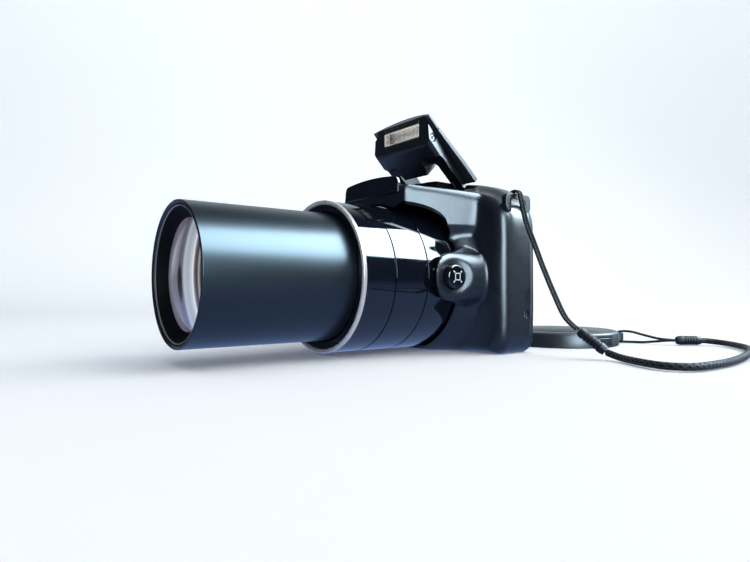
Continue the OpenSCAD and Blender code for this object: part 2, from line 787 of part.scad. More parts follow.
module shutter_button() {
    top = deck_z + 4;
    color([0.1, 0.1, 0.11]) translate([shutter_x, shutter_y, 0]) difference() {
        union() {
            translate([0, 0, deck_z - 4]) cylinder(r = shutter_r - 1, h = 7);
            translate([0, 0, deck_z + 2.4]) cylinder(r = shutter_r, h = top - deck_z - 2.4);
        }
        translate([0, 0, top + 29.2]) sphere(r = 30, $fn = 96);
    }
}

module zoom_lever() {
    color([0.12, 0.12, 0.13]) translate([shutter_x, shutter_y, deck_z + 0.35]) difference() {
        union() {
            cylinder(r = lever_r, h = 2.9);
            translate([0, -lever_r - 0.4, 0]) cylinder(r = 2, h = 2.9);
        }
        translate([0, 0, -1]) cylinder(r = shutter_r + 0.4, h = 6);
    }
}

module power_button() {
    color([0.16, 0.16, 0.17]) translate([power_x, power_y, deck_z - 4]) cylinder(r = power_r, h = 4.5);
}

module rear_button(i) {
    post_y(REAR_BUTTONS[i][0], REAR_BUTTONS[i][1], button_r, button_back, rear_y + button_out);
}
module movie_button() {
    color([0.1, 0.1, 0.11]) rear_button(0);
}
module play_button() {
    color([0.1, 0.1, 0.11]) rear_button(1);
}
module auto_button() {
    color([0.1, 0.1, 0.11]) rear_button(2);
}
module menu_button() {
    color([0.1, 0.1, 0.11]) rear_button(3);
}
module direction_ring() {
    color([0.11, 0.11, 0.12]) along_y(ring4_x, ring4_z) difference() {
        translate([0, 0, button_back]) cylinder(r = ring4_r, h = rear_y + button_out - button_back);
        translate([0, 0, 0]) cylinder(r = 4.4, h = 30);
    }
}
module set_button() {
    color([0.1, 0.1, 0.11]) post_y(ring4_x, ring4_z, 4, button_back, rear_y + button_out);
}

// Flash, drawn shut and then raised about its hinge. Its head and two arms stand round a fixed crown block.

flash_front = well_front + 0.35;
arm_back = hinge_y - 4.3;
case_top = hump_z - 2.4;
case_low = well_floor + floor_t + 0.5;
arm_low = case_low + 3;
arm_in = 12.2;
// The cover widens to the rear, and its edges hang a little below the case
cover_half = flash_half + 2.5;
cover_low = case_top - 0.5;
lobe_half = 8;
lobe_back = hinge_y - 16.3;
notch_r = 2.5;
block_half = arm_in - 0.4;
block_front = lobe_back + 1.1;
block_back = hinge_y - knuckle_r - 0.4;
knuckle_half = cheek_half - 0.6;
// Window and reflector, measured down the slanting face and square into it
window_drop = 0.7;
mirror_h = window_h - 2;
mirror_d = 4.2;
mirror_drop = 0.5;
screw_at = [-22.8, case_top - 4.6];

// Local Z points out of the window and local Y up its face, from the middle of the window
module flash_head_frame() {
    step = (window_drop + window_h / 2) * cos(45);
    translate([0, flash_front + step, case_top - step]) rotate([135, 0, 0]) children();
}
// Side view as an outline of Y and Z, between two places across the flash
module side_view(x0, x1, outline) {
    translate([x0, 0, 0]) rotate([90, 0, 90]) linear_extrude(x1 - x0) polygon(outline);
}

// Sides of the case: a bulging plate low down, drawn in above it to a groove under the cover
module case_section() {
    right = [
        [9.5, case_low], [13.5, case_low + 0.7], [16, case_low + 1.9], [flash_half - 0.7, case_low + 3.2],
        [flash_half - 0.6, case_low + 4.4], [flash_half - 1, case_low + 5.4], [15.4, case_low + 6.6],
        [15, case_low + 7.4], [15, case_top]];
    plate_y(flash_front - 1, arm_back)
        polygon(concat(right, [for (q = flip(right)) [-q[0], q[1]]]));
}
// Head with its slanting face and round chin, the lobe behind it and the arms
module case_side_view() {
    face = 6.8;
    y1 = flash_front + face;
    z1 = case_top - face;
    side_view(-flash_half, flash_half, [
        [flash_front, case_top], [y1, z1], [y1 + 0.9, z1 - 1], [y1 + 1.9, z1 - 1.7], [y1 + 3, case_low],
        [lobe_back, case_low], [lobe_back, arm_low], [arm_back, arm_low + 1], [arm_back, case_top]]);
}
// Space between the arms, with round notches beside the lobe
module arm_gap() {
    box(-arm_in, arm_in, lobe_back, arm_back + 20, 50, 90);
    for (s = [-1, 1])
        translate([s * (arm_in - notch_r), lobe_back - 0.6, 50]) cylinder(r = notch_r, h = 40);
}
// Space under each arm beside the lobe, hollowed into the head
module under_arm() {
    reach = flash_half - lobe_half + 2.5;
    for (s = [-1, 1]) {
        mid = s * (lobe_half + reach / 2);
        box(mid - reach / 2, mid + reach / 2, lobe_back - 4, arm_back + 1, case_low - 5, arm_low);
        along_x(lobe_back - 4, case_low) translate([0, 0, mid]) cylinder(r = 2.9, h = reach, center = true);
    }
}
module mirror_space(depth) {
    translate([0, -mirror_drop, -mirror_d]) linear_extrude(depth) rounded(window_w - 1, mirror_h, 0.4);
}

module flash_case() {
    color([0.06, 0.06, 0.065]) raised() difference() {
        union() {
            difference() {
                intersection() {
                    case_section();
                    case_side_view();
                }
                arm_gap();
                under_arm();
            }
            // Knuckle, and the cheeks that join it to the arms
            along_x(hinge_y, hinge_z) cylinder(r = knuckle_r, h = 2 * knuckle_half, center = true);
            for (s = [-1, 1])
                side_view(s * (arm_in + knuckle_half) / 2 - 0.6, s * (arm_in + knuckle_half) / 2 + 0.6, [
                    [arm_back - 5, arm_low + 0.6], [hinge_y, hinge_z - 3.6], [hinge_y, hinge_z + 3.6],
                    [arm_back + 0.1, case_top], [arm_back - 5, case_top]]);
        }
        along_x(hinge_y, hinge_z) cylinder(r = pin_r + 0.05, h = 60, center = true);
        flash_head_frame() {
            mirror_space(mirror_d + 1);
            translate([0, 0, -0.9]) linear_extrude(3) rounded(window_w, window_h, 0.4);
        }
        for (s = [-1, 1])
            along_x(screw_at[0], screw_at[1]) translate([0, 0, s * flash_half])
                cylinder(r = 1.3, h = 3, center = true);
    }
}

module flash_cover() {
    under = [[15, case_top], [15.3, cover_low], [cover_half, cover_low]];
    color([0.08, 0.085, 0.095]) raised() difference() {
        intersection() {
            plate_y(flash_front, arm_back) polygon(concat(
                arch_line(cover_half, hump_z - 2.3), [for (q = flip(under)) [-q[0], q[1]]], under));
            linear_extrude(100) polygon([
                [flash_half, flash_front], [cover_half, arm_back],
                [-cover_half, arm_back], [-flash_half, flash_front]]);
        }
        arm_gap();
        flash_head_frame() {
            mirror_space(mirror_d + 1);
            translate([0, 0, -0.9]) linear_extrude(3) rounded(window_w, window_h, 0.4);
        }
    }
}

module flash_window() {
    color([0.85, 0.87, 0.9, 0.5]) raised() flash_head_frame()
        translate([0, 0, -0.9]) linear_extrude(1) rounded(window_w, window_h, 0.4);
}

module flash_reflector() {
    w = window_w - 1.8;
    trough = mirror_h / 2 - 0.3;
    color([0.8, 0.78, 0.7]) raised() flash_head_frame() difference() {
        mirror_space(mirror_d - 0.9);
        translate([0, -mirror_drop, 0.6 + trough - mirror_d]) {
            rotate([0, 90, 0]) cylinder(r = trough, h = w, center = true);
            translate([-w / 2, -trough, 0]) cube([w, 2 * trough, 4]);
        }
    }
}
module flash_tube() {
    color([0.9, 0.9, 0.92, 0.6]) raised() flash_head_frame()
        translate([0, -mirror_drop, 2.2 - mirror_d]) rotate([0, 90, 0])
            cylinder(r = 0.8, h = window_w - 1.8, center = true);
}
module flash_screws() {
    color([0.12, 0.12, 0.13]) raised() for (s = [-1, 1])
        translate([s * (flash_half - 1.5), screw_at[0], screw_at[1]]) rotate([0, 90 * s, 0]) screw(1.3, 0.7);
}
module flash_pin() {
    color([0.7, 0.7, 0.72]) along_x(hinge_y, hinge_z) cylinder(r = pin_r, h = 36, center = true);
}
module flash_capacitor() {
    color([0.12, 0.12, 0.16]) translate([store_x, store_y, 20]) cylinder(r = store_r, h = 30);
}

// Lens cap and tether

module lens_cap() {
    eye = cap_r + 1.2;
    color([0.05, 0.055, 0.06]) translate([cap_x, cap_y, 0]) difference() {
        union() {
            rotate_extrude() polygon([
                [0, cap_h - 1.4], [cap_bore, cap_h - 1.4], [cap_bore, 0], [cap_r - 0.3, 0],
                [cap_r, 0.3], [cap_r, cap_h - 1.2], [cap_r - 1.2, cap_h - 0.3],
                [cap_r - 4, cap_h], [0, cap_h + 0.6]]);
            rotate([0, 0, cap_eye_a]) translate([eye, 0, 1.4]) cylinder(r = 3, h = 3.2);
        }
        rotate([0, 0, cap_eye_a]) translate([eye + 0.6, 0, 0]) cylinder(r = 1.5, h = 9);
        for (a = [0, 180])
            rotate([0, 0, cap_latch_a + a]) translate([tube_r - 2, -4.5, 1])
                cube([8, 9, 3.4]);
    }
}
module cap_latch(a) {
    color([0.06, 0.065, 0.07]) translate([cap_x, cap_y, 0]) rotate([0, 0, cap_latch_a + a])
        intersection() {
            translate([tube_r - 0.6, -4.1, 1.35]) cube([8, 8.2, 2.7]);
            cylinder(r = cap_r + 0.2, h = 9);
        }
}
module cap_latch_near() {
    cap_latch(0);
}
module cap_latch_far() {
    cap_latch(180);
}

LUG_ROUTE = [[39.7, 58.8], [40, 60.7], [42.1, 61.75], [44.2, 60.9], [45, 58.2]];
HANG_ROUTE = [[46, 50], [48, 42], [51, 33], [56, 23], [61.5, 14.5], [65.6, 10.4]];
HANG_Y = [5, 7, 8.2, 7.8, 6.6, 7.8];
module camera_loop() {
    color([0.05, 0.05, 0.06]) for (s = [-0.6, 0.6])
        cord_tube(concat(
            [for (p = LUG_ROUTE) [p[0], 3.4 + 1.2 * s, p[1]]],
            [for (i = [0 : 5]) [HANG_ROUTE[i][0] + s * 0.3, HANG_Y[i] + s, HANG_ROUTE[i][1]]]),
            loop_d, 3);
}
module crimp_upper() {
    color([0.04, 0.04, 0.045]) translate([66, 8, 10]) rotate([0, 129, 30])
        rotate_extrude() polygon([[0, 0], [1.5, 0], [1.9, 1.5], [1.9, 9.5], [1.6, 11], [0, 11]]);
}
CORD_ROUTE = [
    [74, 12.6, 2.6], [80, 11, 1.5], [90, 5, 1.5], [98, 2.4, 1.5], [104, 6, 1.5], [106, 15, 1.5],
    [106, 30, 1.5], [103.5, 48, 1.5], [99, 66, 1.5], [93, 81, 1.5], [85, 91, 1.5],
    [78, 96.4, 1.6], [73, 95.4, 2], [71.1, 93.1, 2.2]];
module tether_cord() {
    color([0.06, 0.06, 0.08]) cord_tube(CORD_ROUTE, cord_d, 4);
}
module crimp_lower() {
    color([0.04, 0.04, 0.045]) translate([71, 93, 2.2]) rotate([0, 90, 228])
        rotate_extrude() polygon([[0, 0], [1.6, 0], [2, 1.2], [2, 8.8], [1.6, 10], [0, 10]]);
}
// The two strands lie side by side over the bar of the eyelet and dip into its hole
EYE_ROUTE = [
    [64, 85, 2], [58, 82.6, 2], [51.5, 82, 2.6], [47.5, 80.8, 4.4], [45.2, 79.2, 5.7], [43.6, 77.6, 5.9],
    [42.6, 76.4, 4.4]];
module cap_loop() {
    color([0.05, 0.05, 0.06]) for (s = [-1, 1])
        cord_tube(beside(EYE_ROUTE, s * (loop_d / 2 + 0.1)), loop_d, 4);
}

front_shell();
rear_cover();
hump_fascia();
flash_tray();
strap_lug_left();
strap_lug_right();
tripod_socket();
housing_screws();
chassis();
main_board();
sensor_unit();
lcd_panel();
lcd_window();
battery_bay();
battery();
memory_card();
battery_door();
terminal_door();
usb_socket();
focus_lamp();
silver_ring();
barrel_front();
barrel_mid();
barrel_base();
lens_housing();
zoom_tube();
front_baffle();
lens_cell();
front_element();
cam_barrel();
zoom_group();
zoom_glass();
zoom_motor();
framing_button();
shutter_button();
zoom_lever();
power_button();
movie_button();
play_button();
auto_button();
menu_button();
direction_ring();
set_button();
flash_case();
flash_cover();
flash_window();
flash_reflector();
flash_tube();
flash_screws();
flash_pin();
flash_capacitor();
lens_cap();
cap_latch_near();
cap_latch_far();
camera_loop();
crimp_upper();
tether_cord();
crimp_lower();
cap_loop();
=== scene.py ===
"""Looks of a bridge camera with its zoom run out, its flash raised and its lens cap on a tether.

The frame is the part's own: the lens looks along -Y, +X is the photographer's left-hand side and +Z is
up. Sizes are in millimetres and turn into metres when a mesh is made.
"""

import logging
from collections.abc import Mapping, Sequence
from dataclasses import dataclass, field
from enum import Enum
from math import asin, atan2, cos, hypot, pi, radians, sin, sqrt, tau
from typing import ClassVar

import bmesh
import bpy
import numpy as np
from mathutils import Matrix, Vector


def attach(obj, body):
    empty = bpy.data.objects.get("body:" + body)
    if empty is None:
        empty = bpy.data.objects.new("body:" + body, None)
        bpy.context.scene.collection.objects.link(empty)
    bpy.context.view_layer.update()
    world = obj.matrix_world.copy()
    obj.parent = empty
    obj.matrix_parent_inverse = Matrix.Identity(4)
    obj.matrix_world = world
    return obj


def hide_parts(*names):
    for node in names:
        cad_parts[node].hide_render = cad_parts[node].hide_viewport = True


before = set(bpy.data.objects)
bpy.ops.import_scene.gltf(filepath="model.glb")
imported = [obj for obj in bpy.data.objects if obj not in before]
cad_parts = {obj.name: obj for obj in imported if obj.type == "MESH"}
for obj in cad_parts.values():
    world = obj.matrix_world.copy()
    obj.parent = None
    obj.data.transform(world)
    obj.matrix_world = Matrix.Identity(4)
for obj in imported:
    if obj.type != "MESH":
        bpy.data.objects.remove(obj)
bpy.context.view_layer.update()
LOG = logging.getLogger("bridge_camera")
MM = 0.001
ROOT = "camera"

AXIS_X, AXIS_Y, AXIS_Z = (1.0, 0.0, 0.0), (0.0, 1.0, 0.0), (0.0, 0.0, 1.0)
TO_RIGHT = (-1.0, 0.0, 0.0)

# Places and sizes that several pieces share: lens axis, barrel, buttons, lamp, tripod socket, cap's eyelet.
LENS_Z, BARREL_R = 29.1, 28.4
SHUTTER_AT, POWER_AT, TRIPOD_AT = (-49.5, -2.5), (-31.0, -1.0), (33.5, 4.4)
FRAMING_Y, LAMP_AT = -20.0, (-36.0, 50.0)
DOOR_X, DOOR_Y = (-56.8, -44.9, -39.4), (-18.6, -8.0, 5.0)
EYE_TURN = 53.0

Point = tuple[float, float, float]
Pair = tuple[float, float]
Outline = Sequence[Pair]
Array = np.ndarray
Faces = list[Sequence[int]]
Piece = bpy.types.Object
Socket = bpy.types.NodeSocket
Sockets = bpy.types.bpy_prop_collection


class Relief(Enum):
    """How the fine relief of a finish runs over its surface."""

    MOULDED = (1.0, 1.0, 1.0)
    TURNED = (0.04, 1.0, 0.04)


class Join(Enum):
    """How bodies work on a piece."""

    CUT = "DIFFERENCE"
    MEET = "INTERSECT"
    ADD = "UNION"


class Slope(Enum):
    """How a value runs between two bounds."""

    STRAIGHT = "LINEAR"
    SMOOTH = "SMOOTHSTEP"


@dataclass(frozen=True)
class Wiring:
    """A node tree that is being built.

    Attributes:
        tree: The tree.
    """

    tree: bpy.types.NodeTree

    def node(
        self, kind: str, values: Mapping[str | int, object] | None = None, **settings: str
    ) -> bpy.types.Node:
        """Add a node.

        Args:
            kind: Type of the node.
            values: Values of its inputs, by name or number.
            settings: Settings of the node itself, such as its operation.

        Returns:
            The new node.
        """
        made = self.tree.nodes.new(kind)
        for name, setting in settings.items():
            setattr(made, name, setting)
        for key, value in (values or {}).items():
            made.inputs[key].default_value = value
        return made

    def link(self, source: Socket, target: Socket) -> None:
        """Join an output to an input."""
        self.tree.links.new(source, target)

    def coords(self, kind: str = "Object") -> Socket:
        """Coordinates of the given kind."""
        return self.node("ShaderNodeTexCoord").outputs[kind]

    def split(self, vector: Socket) -> Sockets:
        """Parts X, Y and Z of a vector."""
        made = self.node("ShaderNodeSeparateXYZ")
        self.link(vector, made.inputs["Vector"])
        return made.outputs

    def calc(self, operation: str, *terms: Socket | float) -> Socket:
        """Calculate with sockets and numbers.

        Args:
            operation: What to calculate.
            terms: Sockets or numbers, in the order of the inputs.

        Returns:
            The result.
        """
        made = self.node("ShaderNodeMath", operation=operation)
        for k, term in enumerate(terms):
            if isinstance(term, float):
                made.inputs[k].default_value = term
            else:
                self.link(term, made.inputs[k])
        return made.outputs["Value"]

    def span(
        self, value: Socket, given: Pair, wanted: Pair = (0.0, 1.0), slope: Slope = Slope.STRAIGHT
    ) -> Socket:
        """Carry a value from one range over to another.

        Args:
            value: The value.
            given: Bounds of the range that it comes from.
            wanted: What these bounds become.
            slope: How it runs between them.

        Returns:
            The new value.
        """
        bounds = {"From Min": given[0], "From Max": given[1], "To Min": wanted[0], "To Max": wanted[1]}
        made = self.node("ShaderNodeMapRange", bounds, interpolation_type=slope.value)
        self.link(value, made.inputs["Value"])
        return made.outputs["Result"]

    def mix(self, share: Socket, low: Point | Socket, high: Point | Socket) -> Socket:
        """Blend two colours.

        Args:
            share: Share of the second colour.
            low: The first colour.
            high: The second colour.

        Returns:
            The blend.
        """
        made = self.node("ShaderNodeMix", data_type="RGBA")
        self.link(share, made.inputs["Factor"])
        for key, colour in (("A", low), ("B", high)):
            if isinstance(colour, Socket):
                self.link(colour, made.inputs[key])
            else:
                made.inputs[key].default_value = (*colour, 1.0)
        return made.outputs["Result"]

    def noise(self, place: Socket, scale: float, detail: float) -> Socket:
        """Noise pattern.

        Args:
            place: Coordinates.
            scale: Features per metre.
            detail: Steps of finer noise.

        Returns:
            The pattern.
        """
        made = self.node("ShaderNodeTexNoise", {"Scale": scale, "Detail": detail})
        self.link(place, made.inputs["Vector"])
        return made.outputs["Fac"]

    def bump(self, height: Socket, strength: float, distance: float) -> Socket:
        """Relief from a height.

        Args:
            height: The height.
            strength: Strength of the relief.
            distance: Depth of the relief in metres.

        Returns:
            The bumped normal.
        """
        made = self.node("ShaderNodeBump", {"Strength": strength, "Distance": distance})
        self.link(height, made.inputs["Height"])
        return made.outputs["Normal"]


@dataclass(frozen=True)
class Surface:
    """What a piece's surface looks like, as a node material.

    Attributes:
        name: Name of the material.
    """

    name: str

    def material(self) -> bpy.types.Material:
        """Make the material, or fetch it if it is already there.

        Returns:
            The finished node material.
        """
        found = bpy.data.materials.get(self.name)
        if found is not None:
            return found
        made = bpy.data.materials.new(self.name)
        made.use_nodes = True
        self.fill(Wiring(made.node_tree), made.node_tree.nodes["Principled BSDF"].inputs)
        return made

    def fill(self, wiring: Wiring, shader: Sockets) -> None:
        """Build the nodes of the material.

        Args:
            wiring: Its tree.
            shader: Inputs of its shader.
        """
        raise NotImplementedError

    @staticmethod
    def even(shader: Sockets, **values: float | Point) -> None:
        """Set what is the same all over the surface.

        Args:
            shader: Inputs of the shader.
            values: Numbers and colours by input, with _ for a space.
        """
        for name, value in values.items():
            socket = shader[name.replace("_", " ")]
            socket.default_value = (*value, 1.0) if isinstance(value, tuple) else value


@dataclass(frozen=True)
class Finish(Surface):
    """A procedural finish: colour with mottling, uneven gloss, fine relief and worn edges.

    Attributes:
        colour: Base colour, linear.
        roughness: Mean roughness.
        grain_mm: Size of the fine relief.
        bump: Strength of the fine relief.
        relief: Direction in which the relief runs.
        mottle: Share by which the colour varies.
        spread: How far the roughness varies.
        metallic: Metal share.
        coat: Clear coat weight.
        wear: How much edges lighten.
        specular: Strength of the mirror reflection.
        sheen: Colour of the mirror reflection.
        glow: Weak light of its own, which paints a reflection onto a mirror whose surroundings are dark.
    """

    colour: Point
    roughness: float
    grain_mm: float = 0.3
    bump: float = 0.1
    relief: Relief = Relief.MOULDED
    mottle: float = 0.15
    spread: float = 0.06
    metallic: float = 0.0
    coat: float = 0.0
    wear: float = 0.0
    specular: float = 0.5
    sheen: Point = (1.0, 1.0, 1.0)
    glow: float = 0.0

    MOTTLE_MM: ClassVar[float] = 9.0
    GRAIN_DEPTH: ClassVar[float] = 0.35
    WORN: ClassVar[Point] = (0.28, 0.29, 0.31)
    EDGE: ClassVar[Pair] = (0.53, 0.62)
    UNEVEN: ClassVar[Pair] = (0.15, 0.4)

    def material(self) -> bpy.types.Material:
        """Make or fetch the material, and give it the base colour as its plain colour.

        Returns:
            The finished node material.
        """
        made = super().material()
        made.diffuse_color = (*self.colour, 1.0)
        return made

    def fill(self, wiring: Wiring, shader: Sockets) -> None:
        """Build the nodes of the finish.

        Args:
            wiring: The material's tree.
            shader: Inputs of its shader.
        """
        self.even(shader, Metallic=self.metallic, Coat_Weight=self.coat, Coat_Roughness=0.04,
                  Specular_IOR_Level=self.specular, Specular_Tint=self.sheen,
                  Emission_Color=self.colour, Emission_Strength=self.glow)
        stretch = wiring.node("ShaderNodeMapping", {"Scale": self.relief.value})
        wiring.link(wiring.coords(), stretch.inputs["Vector"])
        place = stretch.outputs["Vector"]
        broad = wiring.noise(place, 1.0 / (self.MOTTLE_MM * MM), 3.0)
        fine = wiring.noise(place, 1.0 / (self.grain_mm * MM), 2.0)
        wiring.link(self._mottled(wiring, broad), shader["Base Color"])
        gloss = (max(0.02, self.roughness - self.spread), min(1.0, self.roughness + self.spread))
        uneven = wiring.span(wiring.calc("MULTIPLY", broad, fine), self.UNEVEN, gloss)
        wiring.link(uneven, shader["Roughness"])
        wiring.link(wiring.bump(fine, self.bump, self.grain_mm * MM * self.GRAIN_DEPTH), shader["Normal"])

    def _mottled(self, wiring: Wiring, broad: Socket) -> Socket:
        """Mottle the base colour, and lighten the edges where the finish wears.

        Args:
            wiring: The material's tree.
            broad: The broad pattern.

        Returns:
            The colour.
        """
        low = tuple(c * (1.0 - self.mottle) for c in self.colour)
        high = tuple(min(1.0, c * (1.0 + self.mottle)) for c in self.colour)
        colour = wiring.mix(broad, low, high)
        if self.wear <= 0.0:
            return colour
        pointed = wiring.node("ShaderNodeNewGeometry").outputs["Pointiness"]
        return wiring.mix(wiring.span(pointed, self.EDGE, (0.0, self.wear)), colour, self.WORN)


@dataclass(frozen=True)
class Clear(Surface):
    """A see-through finish with faint smears.

    Attributes:
        tint: Colour of what passes through.
        roughness: Roughness of the surface.
        ior: Refraction.
        coat: Clear coat weight, for an optical coating.
        bloom: Colour of the reflection.
    """

    tint: Point
    roughness: float = 0.02
    ior: float = 1.5
    coat: float = 0.0
    bloom: Point = (1.0, 1.0, 1.0)

    SMEARS: ClassVar[float] = 180.0
    SMEAR_SPAN: ClassVar[Pair] = (0.4, 0.75)
    SMEAR_ROUGHNESS: ClassVar[float] = 0.05

    def fill(self, wiring: Wiring, shader: Sockets) -> None:
        """Build the nodes of the glass.

        Args:
            wiring: The material's tree.
            shader: Inputs of its shader.
        """
        self.even(shader, Base_Color=self.tint, Transmission_Weight=1.0, IOR=self.ior,
                  Coat_Weight=self.coat, Coat_Tint=self.bloom, Specular_Tint=self.bloom)
        smear = wiring.noise(wiring.coords(), self.SMEARS, 4.0)
        rough = (self.roughness, self.roughness + self.SMEAR_ROUGHNESS)
        wiring.link(wiring.span(smear, self.SMEAR_SPAN, rough), shader["Roughness"])


@dataclass(frozen=True)
class PaintedReflectionGlass(Surface):
    """Coated front glass with painted reflections: pale upright bands painted over the dark inside, with a
    weak glow.

    Attributes:
        half: Half the width of the glass.
        painted_reflection_stops: Places across the glass with the colour of the painted reflection there.
        painted_ghost: Middle and half sizes, across and up, of a painted dark reflection of the inner
            lenses.
        painted_ghost_colour: Colour of the painted dark reflection.
        lens_z: Height of the lens axis.
    """

    half: float
    painted_reflection_stops: Sequence[tuple[float, Point]] = (
        (-18.3, (0.34, 0.33, 0.40)), (-6.0, (0.32, 0.30, 0.37)), (0.0, (0.24, 0.21, 0.26)),
        (2.4, (0.14, 0.12, 0.15)), (4.4, (0.20, 0.19, 0.24)), (5.6, (0.60, 0.64, 0.72)),
        (8.0, (0.50, 0.51, 0.56)), (9.8, (0.66, 0.68, 0.72)), (10.8, (0.97, 0.98, 1.0)),
        (11.6, (0.20, 0.16, 0.16)), (12.9, (0.06, 0.035, 0.03)), (13.7, (0.45, 0.45, 0.47)),
        (14.5, (0.08, 0.06, 0.06)), (18.3, (0.25, 0.24, 0.28)))
    painted_ghost: tuple[float, float, float, float] = (2.4, -2.6, 1.9, 6.2)
    painted_ghost_colour: Point = (0.020, 0.012, 0.010)
    lens_z: float = LENS_Z

    PAINTED_GHOST_EDGE: ClassVar[Pair] = (0.4, 1.3)
    PAINTED_GHOST_SHARE: ClassVar[Pair] = (0.95, 0.0)

    def fill(self, wiring: Wiring, shader: Sockets) -> None:
        """Build the nodes of the glass.

        Args:
            wiring: The material's tree.
            shader: Inputs of its shader.
        """
        # The emission and the colour ramp below paint reflections in upright bands across the glass.
        self.even(shader, Roughness=0.05, IOR=1.6, Transmission_Weight=0.12, Emission_Strength=0.24,
                  Coat_Weight=0.4, Coat_Roughness=0.02)
        place = wiring.split(wiring.coords())
        ramp = wiring.node("ShaderNodeValToRGB")
        wiring.link(wiring.span(place["X"], (-self.half * MM, self.half * MM)), ramp.inputs["Fac"])
        steps = ramp.color_ramp.elements
        for k, (x, colour) in enumerate(self.painted_reflection_stops):
            at = (x + self.half) / (2.0 * self.half)
            step = steps[k] if k < 2 else steps.new(at)
            step.position, step.color = at, (*colour, 1.0)
        # A painted dark reflection of the inner lenses is mixed over the painted bands.
        painted_reflection = wiring.mix(self._painted_ghost(wiring, place), ramp.outputs["Color"], self.painted_ghost_colour)
        for socket in ("Base Color", "Emission Color"):
            wiring.link(painted_reflection, shader[socket])

    def _painted_ghost(self, wiring: Wiring, place: Sockets) -> Socket:
        """Share of the painted dark reflection: most in the middle of a tall oval, nought outside it.

        Args:
            wiring: The material's tree.
            place: Parts of the coordinates.

        Returns:
            The share.
        """
        x, z, wide, tall = self.painted_ghost
        squares = []
        for axis, middle, size in (("X", x, wide), ("Z", self.lens_z + z, tall)):
            off = wiring.calc("MULTIPLY_ADD", place[axis], 1.0 / (size * MM), -middle / size)
            squares.append(wiring.calc("POWER", wiring.calc("ABSOLUTE", off), 2.0))
        away = wiring.calc("ADD", *squares)
        return wiring.span(away, self.PAINTED_GHOST_EDGE, self.PAINTED_GHOST_SHARE, Slope.SMOOTH)


@dataclass(frozen=True)
class Braid(Surface):
    """A braided cord, whose strands cross along the cord's own map.

    Attributes:
        colour: Base colour, linear.
        pitch: Strand crossings per millimetre of length.
        strands: Strands counted round the cord.
    """

    colour: Point
    pitch: float = 0.9
    strands: float = 8.0

    DEPTH_MM: ClassVar[float] = 0.18
    PAINTED_SHADE_AND_HIGHLIGHT: ClassVar[Pair] = (0.35, 1.3)
    ROUGH: ClassVar[Pair] = (0.8, 0.5)

    def fill(self, wiring: Wiring, shader: Sockets) -> None:
        """Build the nodes of the braid.

        Args:
            wiring: The material's tree.
            shader: Inputs of its shader.
        """
        self.even(shader, Sheen_Weight=0.04, Specular_IOR_Level=0.12)
        along = wiring.split(wiring.node("ShaderNodeUVMap").outputs["UV"])
        top = wiring.calc("MAXIMUM", *(self._lay(wiring, along, sign) for sign in (1.0, -1.0)))
        wiring.link(wiring.bump(top, 0.6, self.DEPTH_MM * MM), shader["Normal"])
        # The strands' colour darkens in the grooves and lightens on their tops: painted shade and painted
        # highlight.
        low, high = (tuple(c * shade for c in self.colour) for shade in self.PAINTED_SHADE_AND_HIGHLIGHT)
        wiring.link(wiring.mix(top, low, high), shader["Base Color"])
        wiring.link(wiring.span(top, (0.0, 1.0), self.ROUGH), shader["Roughness"])

    def _lay(self, wiring: Wiring, along: Sockets, sign: float) -> Socket:
        """One set of strands, as the height of a wave that climbs round the cord.

        Args:
            wiring: The material's tree.
            along: Parts of the map.
            sign: Which way the strands climb.

        Returns:
            The height.
        """
        around = wiring.calc("MULTIPLY", along["X"], sign * self.strands * pi)
        return wiring.calc("SINE", wiring.calc("MULTIPLY_ADD", along["Y"], self.pitch * pi, around))


COOL = (0.72, 0.90, 1.0)
SATIN = Finish(
    "housing satin", (0.007, 0.010, 0.018), 0.30, 0.25, 0.06, spread=0.03, wear=0.05, specular=0.45)
GLOSS = Finish("gloss black", (0.004, 0.006, 0.012), 0.06, 0.6, 0.004, spread=0.02)
MATTE = Finish("inner matte black", (0.004, 0.004, 0.005), 0.55, 0.25, 0.10, specular=0.06)
TUBE = Finish(
    "tube satin black", (0.006, 0.008, 0.012), 0.32, 0.4, 0.004, mottle=0.02, spread=0.008, sheen=COOL)
BRIGHT = Finish("bright ring", (0.62, 0.60, 0.61), 0.30, 0.12, 0.05, Relief.TURNED, metallic=0.3, wear=0.1)
STEEL = Finish("plain steel", (0.50, 0.51, 0.53), 0.34, 0.2, 0.06, metallic=1.0, wear=0.15)
BLACK_METAL = Finish("blackened metal", (0.008, 0.008, 0.010), 0.32, 0.2, 0.04, wear=0.08)
CASE = Finish("flash case satin", (0.005, 0.006, 0.009), 0.36, 0.25, 0.06, spread=0.03, specular=0.5)
# A grey finish for a thin ring that paints the highlight on the tube's front edge.
RIM_PAINTED_HIGHLIGHT = Finish("rim painted highlight", (0.16, 0.17, 0.18), 0.35, 0.2, 0.02)
POST = Finish("electrode post", (0.055, 0.022, 0.014), 0.4, 0.3, 0.05)
SCREW = Finish("dark screw", (0.16, 0.17, 0.19), 0.34, 0.2, 0.05, metallic=1.0, wear=0.15)
